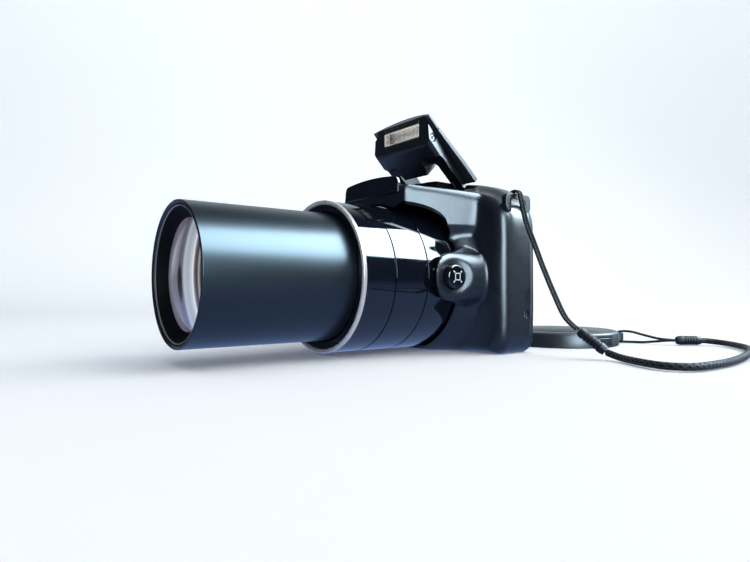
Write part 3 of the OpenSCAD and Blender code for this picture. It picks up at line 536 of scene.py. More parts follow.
# The mirror's glow is painted light: it stands in for the bright room that the mirror would reflect.
MIRROR = Finish("flash mirror", (0.90, 0.85, 0.76), 0.20, 0.9, 0.8, mottle=0.3, metallic=0.9, glow=0.28)
CONTROL = Finish("control satin", (0.012, 0.013, 0.016), 0.36, 0.3, 0.06, wear=0.10)
SPUN = Finish("spun metal", (0.22, 0.22, 0.24), 0.3, 0.15, 0.08, metallic=1.0, wear=0.1)
SOFT = Finish("soft rubber", (0.012, 0.012, 0.014), 0.68, 0.3, 0.15)
CAP = Finish("cap satin", (0.010, 0.012, 0.017), 0.40, 0.35, 0.10, wear=0.08)
BOARD = Finish("board green", (0.02, 0.12, 0.05), 0.35, 0.5, 0.1)
WRAP = Finish("cell wrap", (0.12, 0.13, 0.16), 0.45, 0.4, 0.05)
CAM = Finish("anodised cam", (0.30, 0.28, 0.23), 0.38, 0.2, 0.06, metallic=1.0)
DARK_PART = Finish("dark moulded part", (0.04, 0.04, 0.045), 0.5, 0.4, 0.1)
SCREEN = Finish("screen cover", (0.004, 0.004, 0.005), 0.06, 0.8, 0.01, spread=0.02, coat=0.5)
DISPLAY = Finish("dark display", (0.020, 0.022, 0.026), 0.12, 0.8, 0.01, spread=0.02)
WHITE_INK = Finish("white ink", (0.80, 0.84, 0.88), 0.45, 0.1, 0.03)
RED_INK = Finish("red ink", (0.55, 0.02, 0.02), 0.45, 0.1, 0.03)
CRIMP = Finish("crimp rubber", (0.006, 0.006, 0.008), 0.45, 0.3, 0.10, specular=0.2)
LENS_GLASS = Clear("lens glass", (0.96, 0.97, 0.99), 0.01, 1.6, 0.4, (0.80, 0.74, 0.95))
# The front glass's pale bands and dark ghost are painted reflections, with a weak painted glow.
FRONT_GLASS = PaintedReflectionGlass("front glass painted reflections", 18.3)
FLASH_CLEAR = Clear("flash clear", (0.97, 0.97, 0.96), 0.03, 1.49)
AMBER = Clear("amber lamp", (0.95, 0.45, 0.12), 0.08, 1.5)
CORD = Braid("braided cord", (0.018, 0.019, 0.026))
THREAD = Braid("loop thread", (0.016, 0.017, 0.022), 1.6, 6.0)


def add_object(name: str, mesh: bpy.types.Mesh) -> Piece:
    """Put a mesh in the scene as an object at the origin.

    Args:
        name: Name of the object.
        mesh: Its mesh.

    Returns:
        The object.
    """
    made = bpy.data.objects.new(name, mesh)
    bpy.context.scene.collection.objects.link(made)
    return made


def shade(mesh: bpy.types.Mesh, sharp_deg: float) -> None:
    """Shade a mesh smooth, apart from edges sharper than an angle."""
    mesh.polygons.foreach_set("use_smooth", [True] * len(mesh.polygons))
    mesh.set_sharp_from_angle(angle=radians(sharp_deg))


def solid(name: str, points: Array, faces: Faces, sharp_deg: float = 32.0) -> Piece:
    """Make a closed object, with its doubles merged and its faces turned outwards.

    Args:
        name: Name of the object.
        points: Corners in millimetres.
        faces: Corner numbers of each face.
        sharp_deg: Edges sharper than this stay sharp.

    Returns:
        The object, at the origin.
    """
    mesh = bpy.data.meshes.new(name)
    mesh.from_pydata((np.asarray(points, float) * MM).tolist(), [], [list(f) for f in faces])
    work = bmesh.new()
    work.from_mesh(mesh)
    bmesh.ops.remove_doubles(work, verts=work.verts, dist=1e-7)
    bmesh.ops.dissolve_degenerate(work, edges=work.edges, dist=1e-8)
    bmesh.ops.recalc_face_normals(work, faces=work.faces)
    work.to_mesh(mesh)
    work.free()
    shade(mesh, sharp_deg)
    return add_object(name, mesh)


def ring_faces(rings: int, count: int, closed: bool) -> list[tuple[int, int, int, int]]:
    """Faces between neighbouring closed rings of points.

    Args:
        rings: Number of rings.
        count: Points in each ring.
        closed: Whether the last ring joins the first.

    Returns:
        Four corner numbers for each face.
    """
    last = rings if closed else rings - 1
    return [
        (i * count + j, i * count + (j + 1) % count,
         (i + 1) % rings * count + (j + 1) % count, (i + 1) % rings * count + j)
        for i in range(last)
        for j in range(count)
    ]


def loft(name: str, rings: Array, sharp_deg: float = 32.0) -> Piece:
    """Make a solid through open rows of rings, with a face on each end.

    Args:
        name: Name of the object.
        rings: Points of each ring.
        sharp_deg: Edges sharper than this stay sharp.

    Returns:
        The solid.
    """
    count, size = rings.shape[0], rings.shape[1]
    faces: Faces = list(ring_faces(count, size, False))
    faces.append(list(range(size)))
    faces.append([(count - 1) * size + j for j in range(size)])
    return solid(name, rings.reshape(-1, 3), faces, sharp_deg)


def full_turn(count: int) -> Array:
    """Angles of even steps round a full turn."""
    return np.linspace(0.0, tau, count, endpoint=False)


def revolve(
    name: str,
    profile: Outline,
    origin: Point,
    axis: Point = AXIS_Y,
    segments: int = 160,
    sharp_deg: float = 32.0,
) -> Piece:
    """Turn a closed profile about an axis.

    Args:
        name: Name of the object.
        profile: Distance from the axis and place along it, in order round the section.
        origin: A point on the axis, where the place along it is nought.
        axis: Direction of the axis.
        segments: Steps of the turn.
        sharp_deg: Edges sharper than this stay sharp.

    Returns:
        The turned object.
    """
    along = Vector(axis).normalized()
    first = along.orthogonal().normalized()
    second = along.cross(first)
    turn = full_turn(segments)
    spokes = np.outer(np.cos(turn), first) + np.outer(np.sin(turn), second)
    rows = [np.asarray(origin) + r * spokes + y * np.asarray(along) for r, y in profile]
    points = np.stack(rows, axis=1)
    return solid(name, points.reshape(-1, 3), ring_faces(segments, len(profile), True), sharp_deg)


def extrude(name: str, outline: Outline, origin: Point, across: Point, up: Point, depth: float) -> Piece:
    """Extrude a flat outline.

    Args:
        name: Name of the object.
        outline: Points of the outline in its own plane.
        origin: Where the outline's own origin lies.
        across: Direction of the outline's first axis.
        up: Direction of its second axis.
        depth: Depth along the normal of the two.

    Returns:
        The extruded object.
    """
    a, b = Vector(across).normalized(), Vector(up).normalized()
    n = a.cross(b)
    flat = np.array([np.asarray(origin) + p * np.asarray(a) + q * np.asarray(b) for p, q in outline])
    return loft(name, np.stack([flat, flat + depth * np.asarray(n)]))


def rounded_rect(width: float, height: float, radius: float, steps: int = 6) -> list[Pair]:
    """Outline of a rectangle with round corners, centred on its origin.

    Args:
        width: Its width.
        height: Its height.
        radius: Radius of its corners.
        steps: Steps of each corner.

    Returns:
        The outline.
    """
    corners = [(1, 1, 0), (-1, 1, 90), (-1, -1, 180), (1, -1, 270)]
    outline = []
    for sx, sy, start in corners:
        for k in range(steps + 1):
            a = radians(start + 90.0 * k / steps)
            outline.append((
                sx * (width / 2 - radius) + radius * cos(a),
                sy * (height / 2 - radius) + radius * sin(a),
            ))
    return outline


def shifted(outline: Outline, by: Pair) -> list[Pair]:
    """Move an outline in its own plane."""
    return [(by[0] + x, by[1] + y) for x, y in outline]


def bevelled(piece: Piece, width: float, segments: int = 2, angle: float = 35.0) -> Piece:
    """Round the sharp edges of a piece.

    Args:
        piece: The piece.
        width: Width of the rounding.
        segments: Steps of the rounding.
        angle: Edges sharper than this are rounded, in degrees.

    Returns:
        The same piece.
    """
    bevel = piece.modifiers.new("Rounded edges", "BEVEL")
    bevel.width = width * MM
    bevel.segments = segments
    bevel.limit_method = "ANGLE"
    bevel.angle_limit = radians(angle)
    bevel.use_clamp_overlap = True
    shade(baked(piece).data, 50.0)
    piece.modifiers.new("Flat faces", "WEIGHTED_NORMAL").keep_sharp = True
    return baked(piece)


def baked(piece: Piece) -> Piece:
    """Turn a piece's modifiers into plain mesh.

    Args:
        piece: The piece.

    Returns:
        The same piece.
    """
    graph = bpy.context.evaluated_depsgraph_get()
    mesh = bpy.data.meshes.new_from_object(piece.evaluated_get(graph))
    piece.modifiers.clear()
    piece.data = mesh
    return piece


def carve(piece: Piece, cutters: Sequence[Piece], how: Join = Join.CUT) -> Piece:
    """Cut, meet or join a piece with a row of bodies, and remove them.

    Args:
        piece: The piece that stays.
        cutters: The bodies.
        how: What happens to the piece.

    Returns:
        The same piece.
    """
    for cutter in cutters:
        cut = piece.modifiers.new(cutter.name, "BOOLEAN")
        cut.operation = how.value
        cut.solver = "EXACT"
        cut.object = cutter
    baked(piece)
    for cutter in cutters:
        bpy.data.objects.remove(cutter)
    shade(piece.data, 40.0)
    return piece


def plain_faces(piece: Piece) -> Piece:
    """Join the flat faces that cutting has split.

    Args:
        piece: The piece.

    Returns:
        The same piece.
    """
    work = bmesh.new()
    work.from_mesh(piece.data)
    bmesh.ops.remove_doubles(work, verts=work.verts, dist=2e-6)
    bmesh.ops.dissolve_limit(work, angle_limit=radians(0.5), verts=work.verts, edges=work.edges)
    work.to_mesh(piece.data)
    work.free()
    return piece


def merge(name: str, pieces: Sequence[Piece]) -> Piece:
    """Put several pieces into one mesh.

    Args:
        name: Name of the new piece.
        pieces: The pieces, which go.

    Returns:
        The new piece.
    """
    work = bmesh.new()
    for piece in pieces:
        work.from_mesh(piece.data)
        bpy.data.objects.remove(piece)
    mesh = bpy.data.meshes.new(name)
    work.to_mesh(mesh)
    work.free()
    shade(mesh, 40.0)
    return add_object(name, mesh)


def marks(
    name: str, outlines: Sequence[Outline], origin: Point, across: Point, up: Point, depth: float
) -> Piece:
    """Raise a row of flat outlines as one printed mark."""
    strokes = [extrude(f"{name}_{k}", o, origin, across, up, depth) for k, o in enumerate(outlines)]
    return merge(name, strokes)


def bar(a: Pair, b: Pair, width: float) -> list[Pair]:
    """Outline of a straight stroke between two points.

    Args:
        a: Its start.
        b: Its end.
        width: Its width.

    Returns:
        The outline.
    """
    length = hypot(b[0] - a[0], b[1] - a[1])
    u, v = -(b[1] - a[1]) / length * width / 2, (b[0] - a[0]) / length * width / 2
    return [(a[0] + u, a[1] + v), (a[0] - u, a[1] - v), (b[0] - u, b[1] - v), (b[0] + u, b[1] + v)]


def side_view(name: str, outline: Outline, x0: float, x1: float) -> Piece:
    """Extrude an outline of Y and Z between two places across the camera."""
    return extrude(name, outline, (x0, 0.0, 0.0), AXIS_Y, AXIS_Z, x1 - x0)


def front_view(name: str, outline: Outline, y0: float, y1: float) -> Piece:
    """Extrude an outline of X and Z between two depths."""
    return extrude(name, outline, (0.0, y1, 0.0), AXIS_X, AXIS_Z, y1 - y0)


def plan_view(name: str, outline: Outline, z0: float, z1: float) -> Piece:
    """Extrude an outline of X and Y between two heights."""
    return extrude(name, outline, (0.0, 0.0, z0), AXIS_X, AXIS_Y, z1 - z0)


def rod(name: str, start: Point, axis: Point, radius: float, depth: float) -> Piece:
    """A round bar."""
    return revolve(name, [(0.0, 0.0), (radius, 0.0), (radius, depth), (0.0, depth)], start, axis, 72)


def box(name: str, low: Point, high: Point) -> Piece:
    """A plain block between two corners, used for cutting.

    Args:
        name: Name of the object.
        low: Its lowest corner.
        high: Its highest corner.

    Returns:
        The block.
    """
    width, depth = high[0] - low[0], high[1] - low[1]
    outline = [(0.0, 0.0), (width, 0.0), (width, depth), (0.0, depth)]
    return extrude(name, outline, low, AXIS_X, AXIS_Y, high[2] - low[2])


def dressed(piece: Piece, finish: Surface, body: str, slot: str, *nodes: str) -> Piece:
    """Give a piece its finish and its body, and hide the nodes that it stands for.

    Args:
        piece: The piece.
        finish: Its finish.
        body: The body that it moves with.
        slot: The record's material slot; not used.
        nodes: The nodes that it replaces.

    Returns:
        The same piece.
    """
    piece.data.materials.clear()
    piece.data.materials.append(finish.material())
    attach(piece, body)
    if nodes:
        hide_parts(*nodes)
    LOG.info("%s: %d faces on %s", piece.name, len(piece.data.polygons), body)
    return piece


def paint(finish: Surface, *nodes: str) -> None:
    """Give nodes that stay as they are a better finish.

    Args:
        finish: The finish.
        nodes: Names of the nodes.
    """
    for node in nodes:
        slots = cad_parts[node].data.materials
        slots.clear()
        slots.append(finish.material())


class Layout(Enum):
    """How copies of a small feature are laid out."""

    RING = "GeometryNodeMeshCircle"
    ROW = "GeometryNodeMeshLine"


@dataclass(frozen=True)
class Repeat:
    """A small block or dome that a node tree lays out many times.

    Attributes:
        name: Name of the object.
        layout: Ring about the local Z axis, or row along the local X axis.
        count: Number of copies.
        reach: Radius of the ring, or step of the row.
        size: Sizes of a block, or half sizes of a dome.
        domed: Whether a copy is a dome.
        place: Middle of the ring, or the row's first copy.
        turn: Turn of the layout about X, Y and Z, in degrees.
        seed: Seed of the small differences in size.
    """

    name: str
    layout: Layout
    count: int
    reach: float
    size: Point
    domed: bool
    place: Point
    turn: Point = (0.0, 0.0, 0.0)
    seed: int = 7

    def tree(self) -> bpy.types.NodeTree:
        """Make the node tree of this layout, or fetch it if it is already there.

        Returns:
            The tree, with its sizes as named inputs.
        """
        title = f"repeat_{self.layout.name.lower()}_{'dome' if self.domed else 'block'}"
        found = bpy.data.node_groups.get(title)
        if found is not None:
            return found
        made = bpy.data.node_groups.new(title, "GeometryNodeTree")
        made.interface.new_socket("Geometry", in_out="OUTPUT", socket_type="NodeSocketGeometry")
        for name, kind in (("Count", "Int"), ("Reach", "Float"), ("Size", "Vector"), ("Place", "Vector"),
                           ("Turn", "Vector"), ("Seed", "Int"), ("Material", "Material")):
            made.interface.new_socket(name, in_out="INPUT", socket_type=f"NodeSocket{kind}")
        wiring = Wiring(made)
        link, given = wiring.link, wiring.node("NodeGroupInput").outputs
        points = wiring.node(self.layout.value)
        copies = wiring.node("GeometryNodeInstanceOnPoints")
        step = wiring.node("ShaderNodeCombineXYZ")
        if self.layout is Layout.RING:
            link(given["Count"], points.inputs["Vertices"])
            link(given["Reach"], points.inputs["Radius"])
            number = wiring.node("GeometryNodeInputIndex").outputs["Index"]
            turn = wiring.calc("MULTIPLY", number, wiring.calc("DIVIDE", tau, given["Count"]))
            link(turn, step.inputs["Z"])
            link(step.outputs["Vector"], copies.inputs["Rotation"])
        else:
            link(given["Count"], points.inputs["Count"])
            link(given["Reach"], step.inputs["X"])
            link(step.outputs["Vector"], points.inputs["Offset"])
        link(points.outputs["Mesh"], copies.inputs["Points"])
        if self.domed:
            one = wiring.node("GeometryNodeMeshUVSphere", {"Segments": 14, "Rings": 8})
        else:
            one = wiring.node("GeometryNodeMeshCube")
        link(one.outputs["Mesh"], copies.inputs["Instance"])
        vary = wiring.node("FunctionNodeRandomValue", {2: 0.97, 3: 1.03}, data_type="FLOAT")
        link(given["Seed"], vary.inputs["Seed"])
        scale = wiring.node("ShaderNodeVectorMath", operation="SCALE")
        link(given["Size"], scale.inputs[0])
        link(vary.outputs[1], scale.inputs["Scale"])
        link(scale.outputs["Vector"], copies.inputs["Scale"])
        move = wiring.node("GeometryNodeTransform")
        link(copies.outputs["Instances"], move.inputs["Geometry"])
        link(given["Place"], move.inputs["Translation"])
        link(given["Turn"], move.inputs["Rotation"])
        real = wiring.node("GeometryNodeRealizeInstances")
        link(move.outputs["Geometry"], real.inputs["Geometry"])
        paint = wiring.node("GeometryNodeSetMaterial")
        link(real.outputs["Geometry"], paint.inputs["Geometry"])
        link(given["Material"], paint.inputs["Material"])
        link(paint.outputs["Geometry"], wiring.node("NodeGroupOutput").inputs["Geometry"])
        return made

    def build(self, finish: Surface) -> Piece:
        """Lay the copies out as plain mesh.

        Args:
            finish: Their finish.

        Returns:
            One object with all the copies.
        """
        made = add_object(self.name, bpy.data.meshes.new(self.name))
        laid = made.modifiers.new("Repeat", "NODES")
        laid.node_group = self.tree()
        values = {
            "Count": self.count, "Reach": self.reach * MM, "Size": tuple(v * MM for v in self.size),
            "Place": tuple(v * MM for v in self.place), "Turn": tuple(radians(v) for v in self.turn),
            "Seed": self.seed, "Material": finish.material()}
        for item in laid.node_group.interface.items_tree:
            if item.in_out == "INPUT":
                laid[item.identifier] = values[item.name]
        shade(baked(made).data, 40.0)
        return made


# Places on the back across and up, and radii: the housing cuts the holes, the controls fill them.
REAR_BUTTONS = {"movie": (-31.0, 50.0), "play": (-35.0, 38.0), "auto": (-49.0, 38.0), "menu": (-36.0, 8.0)}
RING_AT = (-42.0, 22.0)
REAR_R, RING_R = 2.6, 9.5
REAR_HOLES = [(x, z, REAR_R) for x, z in REAR_BUTTONS.values()] + [(*RING_AT, RING_R)]
SCREEN_AT, SCREEN_SIZE = (10.5, 29.0), (62.0, 47.0, 1.5)


@dataclass
class Studio:
    """Camera, floor sweep and lights.

    Attributes:
        eye: Place of the camera.
        azimuth: Turn of the camera round the object, in degrees.
        pitch: How far it looks up, in degrees.
        focal_px: Focal length in pixels of the picture.
        picture: Width of the picture in pixels.
        sensor: Width of the camera's sensor.
        aim: The point that the lights look at.
        key_distance: Distance of the window and of the side glint from that point.
        key_size: Width and height of the window.
        glint_gap: How far the window's glint hangs in front of it.
        glow_from: Distances, in metres, between which the sweep's glow grows.
        glow: The sweep's glow near the object and far from it.
    """

    eye: Point = (179.32, -170.77, 24.40)
    azimuth: float = 52.125
    pitch: float = 0.857
    focal_px: float = 567.15
    picture: float = 750.0
    sensor: float = 36.0
    aim: Point = (0.0, -50.0, 30.0)
    key_distance: float = 900.0
    key_size: Pair = (620.0, 950.0)
    glint_gap: float = 20.0
    glow_from: Pair = (0.2, 1.2)
    glow: tuple[Point, Point] = ((0.06, 0.06, 0.08), (0.39, 0.40, 0.41))

    def looking(self) -> Vector:
        """Direction in which the camera looks."""
        a, p = radians(self.azimuth), radians(self.pitch)
        return Vector((-sin(a) * cos(p), cos(a) * cos(p), sin(p)))

    def camera(self) -> None:
        """Set up the camera at the photograph's angle."""
        data = bpy.data.cameras.new("view")
        data.sensor_width = self.sensor
        data.lens = self.focal_px * self.sensor / self.picture
        data.clip_start = 0.01
        made = bpy.data.objects.new("view", data)
        bpy.context.scene.collection.objects.link(made)
        made.location = Vector(self.eye) * MM
        made.rotation_mode = "QUATERNION"
        made.rotation_quaternion = self.looking().to_track_quat("-Z", "Y")
        bpy.context.scene.camera = made

    def sweep(self) -> None:
        """Lay the pale floor, which curves up into a backdrop at both ends."""
        near, far, rise, radius, half = -2600.0, 1500.0, 2600.0, 900.0, 4200.0
        steps, below = 24, 0.02
        curve = []
        for k in range(steps + 1):
            a = radians(90.0 * k / steps)
            curve.append((radius * (sin(a) - 1.0), radius * (1.0 - cos(a))))
        profile = [(near, rise)] + [(near - d, z) for d, z in reversed(curve)]
        profile += [(far + d, z) for d, z in curve] + [(far, rise)]
        back = Vector((self.looking().x, self.looking().y, 0.0)).normalized()
        side = Vector((back.y, -back.x, 0.0))
        points = []
        for s in (-half, half):
            for d, z in profile:
                p = back * d + side * s
                points.append((p.x * MM, p.y * MM, (z - below) * MM))
        n = len(profile)
        mesh = bpy.data.meshes.new("sweep")
        mesh.from_pydata(points, [], [(i, i + 1, n + i + 1, n + i) for i in range(n - 1)])
        mesh.polygons.foreach_set("use_smooth", [True] * (n - 1))
        made = add_object("sweep", mesh)
        made.visible_glossy = False
        mesh.materials.append(self.pale())

    def pale(self) -> bpy.types.Material:
        """Mix the matt pale paint of the sweep, which glows like a lit backdrop far from the object.

        Returns:
            The finished material.
        """
        paint = Finish("pale sweep", (0.86, 0.89, 0.90), 0.9, 40.0, 0.0, mottle=0.01, specular=0.0)
        made = paint.material()
        wiring = Wiring(made.node_tree)
        shader = made.node_tree.nodes["Principled BSDF"].inputs
        shader["Emission Strength"].default_value = 1.0
        away = wiring.calc("ABSOLUTE", self.ahead(wiring, wiring.coords()))
        far = wiring.span(away, self.glow_from, slope=Slope.SMOOTH)
        wiring.link(wiring.mix(far, *self.glow), shader["Emission Color"])
        return made

    def ahead(self, wiring: Wiring, place: Socket) -> Socket:
        """Distance of a place along the photograph's line of sight.

        Args:
            wiring: The tree.
            place: The place.

        Returns:
            The distance.
        """
        made = wiring.node("ShaderNodeVectorMath", {1: self.looking()}, operation="DOT_PRODUCT")
        wiring.link(place, made.inputs[0])
        return made.outputs["Value"]

    def panel(
        self, name: str, place: Point, turn: Matrix, size: Pair, power: float, tint: Point,
        diffuse: bool = True, glossy: bool = True,
    ) -> None:
        """Hang one soft box.

        Args:
            name: Name of the light.
            place: Where it hangs.
            turn: Its axes; it shines against the third.
            size: Its width and height.
            power: Its power in watts.
            tint: Its colour.
            diffuse: Whether it lights matt surfaces.
            glossy: Whether it shows in shiny ones.
        """
        data = bpy.data.lights.new(name, "AREA")
        data.shape = "RECTANGLE"
        data.size, data.size_y = size[0] * MM, size[1] * MM
        data.energy = power
        data.color = tint
        made = bpy.data.objects.new(name, data)
        bpy.context.scene.collection.objects.link(made)
        made.location = Vector(place) * MM
        made.rotation_mode = "QUATERNION"
        made.rotation_quaternion = turn.to_quaternion()
        made.visible_diffuse = diffuse
        made.visible_glossy = glossy

    def room(self) -> None:
        """Surround the set with a dark room: blue light from below, and the pale backdrop behind."""
        world = bpy.data.worlds.new("room")
        world.use_nodes = True
        wiring = Wiring(world.node_tree)
        place = wiring.coords("Generated")
        up = wiring.split(place)["Z"]
        above = wiring.span(up, (-0.30, 0.0), slope=Slope.SMOOTH)
        level = wiring.mix(above, (0.30, 0.46, 0.90), (0.035, 0.048, 0.07))
        behind = wiring.span(self.ahead(wiring, place), (0.45, 0.85), slope=Slope.SMOOTH)
        upper = wiring.span(up, (-0.02, 0.10), slope=Slope.SMOOTH)
        total = wiring.mix(wiring.calc("MULTIPLY", behind, upper), level, (0.72, 0.84, 0.92))
        wiring.link(total, world.node_tree.nodes["Background"].inputs["Color"])
        bpy.context.scene.world = world

    def lights(self) -> None:
        """Hang a tall window behind on the right, its glint, a glint from the side and a soft ceiling."""
        bpy.context.scene.view_settings.view_transform = "Standard"
        self.room()
        aim, cool = Vector(self.aim), (0.66, 0.86, 1.0)
        wide, tall, out = (-0.805, 0.0, 0.593), (0.3475, -0.810, 0.4717), (0.469, 0.586, 0.661)
        turn = Matrix((wide, tall, out)).transposed()
        place = tuple(aim + Vector(out) * self.key_distance)
        self.panel("window", place, turn, self.key_size, 6.2, (1.0, 0.97, 0.92))
        before = tuple(aim + Vector(out) * (self.key_distance - self.glint_gap))
        self.panel("window_glint", before, turn, self.key_size, 50.0, cool, diffuse=False)
        aside = Vector((0.955, -0.19, 0.20)).normalized()
        self.panel("side_glint", tuple(aim + aside * self.key_distance),
                   aside.to_track_quat("Z", "Y").to_matrix(), (420.0, 420.0), 15.0, cool, diffuse=False)
        self.panel("ceiling", (0.0, -100.0, 1500.0), Matrix.Identity(3), (1500.0, 1500.0), 10.0,
                   (0.93, 0.97, 1.0), glossy=False)

    def build(self) -> None:
        """Make the camera, the sweep and the lights."""
        self.camera()
        self.sweep()
        self.lights()


@dataclass
class Tether:
    """The lens cap's tether: a thin loop on the lug, a braided cord and a thin loop on the cap.

    The routes repeat the ones that the solids follow, apart from the loop on the cap, which goes over the
    eyelet, down its hole and back beneath it.

    Attributes:
        cord_d: Diameter of the braided cord.
        loop_d: Diameter of the loops.
        strand: Half the distance between the two strands on the lug.
        lug_y: Depth at which the strands pass the lug.
        lug_route: Places across and up of the strands round the lug.
        hang_route: Route of the strands from the lug to the upper crimp.
        cord_route: Route of the braided cord.
        over_route: Route of the loop on the cap, from the lower crimp to the top of the eyelet.
        under_route: Route of the loop from beneath the eyelet back to the crimp.
        upper: Start of the upper crimp, with its tilt and turn in degrees.
        lower: Start of the lower crimp, with its tilt and turn in degrees.
        eye_bend: Radius of the loop's bend round the eyelet.
        eye_middle: Middle of that bend.
        eye_turn: Direction of the eyelet from the cap's axis, in degrees.
    """

    cord_d: float = 2.4
    loop_d: float = 1.1
    strand: float = 0.6
    lug_y: float = 3.4
    lug_route: Outline = ((39.7, 58.8), (40.0, 60.7), (42.1, 61.75), (44.2, 60.9), (45.0, 58.2))
    hang_route: Sequence[Point] = (
        (46.0, 5.0, 50.0), (48.0, 7.0, 42.0), (51.0, 8.2, 33.0),
        (56.0, 7.8, 23.0), (61.5, 6.6, 14.5), (65.6, 7.8, 10.4))
    cord_route: Sequence[Point] = (
        (74, 12.6, 2.6), (80, 11, 1.5), (90, 5, 1.5), (98, 2.4, 1.5), (104, 6, 1.5), (106, 15, 1.5),
        (106, 30, 1.5), (103.5, 48, 1.5), (99, 66, 1.5), (93, 81, 1.5), (85, 91, 1.5),
        (78, 96.4, 1.6), (73, 95.4, 2), (71.1, 93.1, 2.2))
    over_route: Sequence[Point] = (
        (64.3, 86.2, 2.25), (61.5, 84.4, 2.3), (57.0, 83.3, 2.7), (51.5, 82.2, 3.9), (47.2, 80.4, 5.1),
        (44.8, 78.9, 5.4))
    under_route: Sequence[Point] = (
        (45.2, 79.0, 0.62), (48.0, 80.6, 0.6), (52.0, 81.3, 0.75), (57.0, 82.2, 1.4), (61.6, 83.6, 2.0),
        (65.0, 85.4, 2.15))
    upper: tuple[Point, Pair] = ((66.0, 8.0, 10.0), (129.0, 30.0))
    lower: tuple[Point, Pair] = ((71.0, 93.0, 2.2), (90.0, 228.0))
    eye_bend: float = 2.3
    eye_middle: Point = (43.21, 77.24, 2.97)
    eye_turn: float = EYE_TURN

    @staticmethod
    def smooth(route: Sequence[Point], steps: int) -> Array:
        """Points on a smooth curve through a route.

        Args:
            route: The points that the curve passes.
            steps: Points for each stretch.

        Returns:
            The points, in order.
        """
        p = np.asarray(route, float)
        n = len(p) - 1
        out = []
        for i in range(n):
            a, b, c, d = p[max(i - 1, 0)], p[i], p[i + 1], p[min(i + 2, n)]
            for k in range(steps):
                u = k / steps
                out.append(0.5 * (2 * b + (c - a) * u + (2 * a - 5 * b + 4 * c - d) * u**2
                                  + (3 * b - a - 3 * c + d) * u**3))
        out.append(p[n])
        return np.array(out)

    @staticmethod
    def tube(name: str, path: Array, diameter: float, sides: int = 14) -> Piece:
        """Sweep a round section along a path, with a map that runs along it.

        Args:
            name: Name of the object.
            path: Centres of the rings, in millimetres.
            diameter: Diameter of the cord.
            sides: Sides of the section.

        Returns:
            The tube, closed at both ends.
        """
        ahead = np.gradient(path, axis=0)
        ahead /= np.linalg.norm(ahead, axis=1)[:, None]
        side = np.cross(ahead[0], (0.0, 0.0, 1.0))
        turn = full_turn(sides)
        rings = []
        for p, t in zip(path, ahead):
            side = side - t * (side @ t)
            side /= np.linalg.norm(side)
            up = np.cross(t, side)
            rings.append(p + diameter / 2 * (np.outer(np.cos(turn), side) + np.outer(np.sin(turn), up)))
        points = np.array(rings)
        count = len(path)
        run = np.concatenate([[0.0], np.cumsum(np.linalg.norm(np.diff(path, axis=0), axis=1))])
        faces: Faces = list(ring_faces(count, sides, False))
        mesh = bpy.data.meshes.new(name)
        ends = [list(range(sides - 1, -1, -1)), [(count - 1) * sides + j for j in range(sides)]]
        mesh.from_pydata((points.reshape(-1, 3) * MM).tolist(), [], faces + ends)
        layer = mesh.uv_layers.new(name="along")
        for face, poly in enumerate(mesh.polygons):
            ring, j = divmod(face, sides)
            for k, loop in enumerate(poly.loop_indices):
                if face < len(faces):
                    u = (j + (1 if k in (1, 2) else 0)) / sides
                    v = run[ring + (1 if k >= 2 else 0)]
                else:
                    u, v = 0.0, run[0 if face == len(faces) else -1]
                layer.data[loop].uv = (u, v)
        shade(mesh, 60.0)
        return add_object(name, mesh)

    def crimp(self, node: str, start: Point, way: Pair, profile: Outline) -> Piece:
        """Turn one crimp, with ribs round its middle."""
        made = revolve(f"{node}_ribbed", profile, start, self.pointing(*way), 48)
        return dressed(made, CRIMP, ROOT, "crimp_black", node)

    @staticmethod
    def ribbed(length: float, ends: Pair, radius: float, ribs: int) -> list[Pair]:
        """Section of a crimp: tapered ends, and ribs along the middle.

        Args:
            length: Its length.
            ends: Radius of each end.
            radius: Radius of its middle.
            ribs: Number of ribs.

        Returns:
            Distances from the axis and places along it.
        """
        taper, first, groove = 1.4, 2.2, radius - 0.25
        out = [(0.0, 0.0), (ends[0], 0.0), (radius, taper)]
        step = (length - first - first) / ribs
        for k in range(ribs):
            y = first + k * step
            out += [(radius, y), (groove, y + 0.25 * step), (groove, y + 0.5 * step),
                    (radius, y + 0.75 * step)]
        return out + [(radius, length - taper), (ends[1], length), (0.0, length)]

    def build(self) -> None:
        """Make the loops, the crimps and the cord."""
        upper = self.crimp("crimp_upper", *self.upper, self.ribbed(11.0, (1.5, 1.6), 1.9, 5))
        lower = self.crimp("crimp_lower", *self.lower, self.ribbed(10.0, (1.6, 1.6), 2.0, 5))
        for k, s in enumerate((-self.strand, self.strand)):
            lug = [(x, self.lug_y + 1.2 * s, z) for x, z in self.lug_route]
            hang = [(x + 0.3 * s, y + s, z) for x, y, z in self.hang_route]
            path = self.smooth(lug + hang, 10)
            piece = self.tube(f"camera_loop_strand_{k + 1}", path, self.loop_d)
            dressed(piece, THREAD, ROOT, "cord_black", "camera_loop")
        path = self.smooth(self.cord_route, 14)
        cord = self.tube("tether_braid", path, self.cord_d, 20)
        dressed(cord, CORD, ROOT, "cord_black", "tether_cord")
        self.cap_loop(lower)

    @staticmethod
    def pointing(tilt: float, turn: float) -> Point:
        """Direction of the up axis after a tilt about Y and a turn about Z, in degrees."""
        a, b = radians(tilt), radians(turn)
        return (sin(a) * cos(b), sin(a) * sin(b), cos(a))

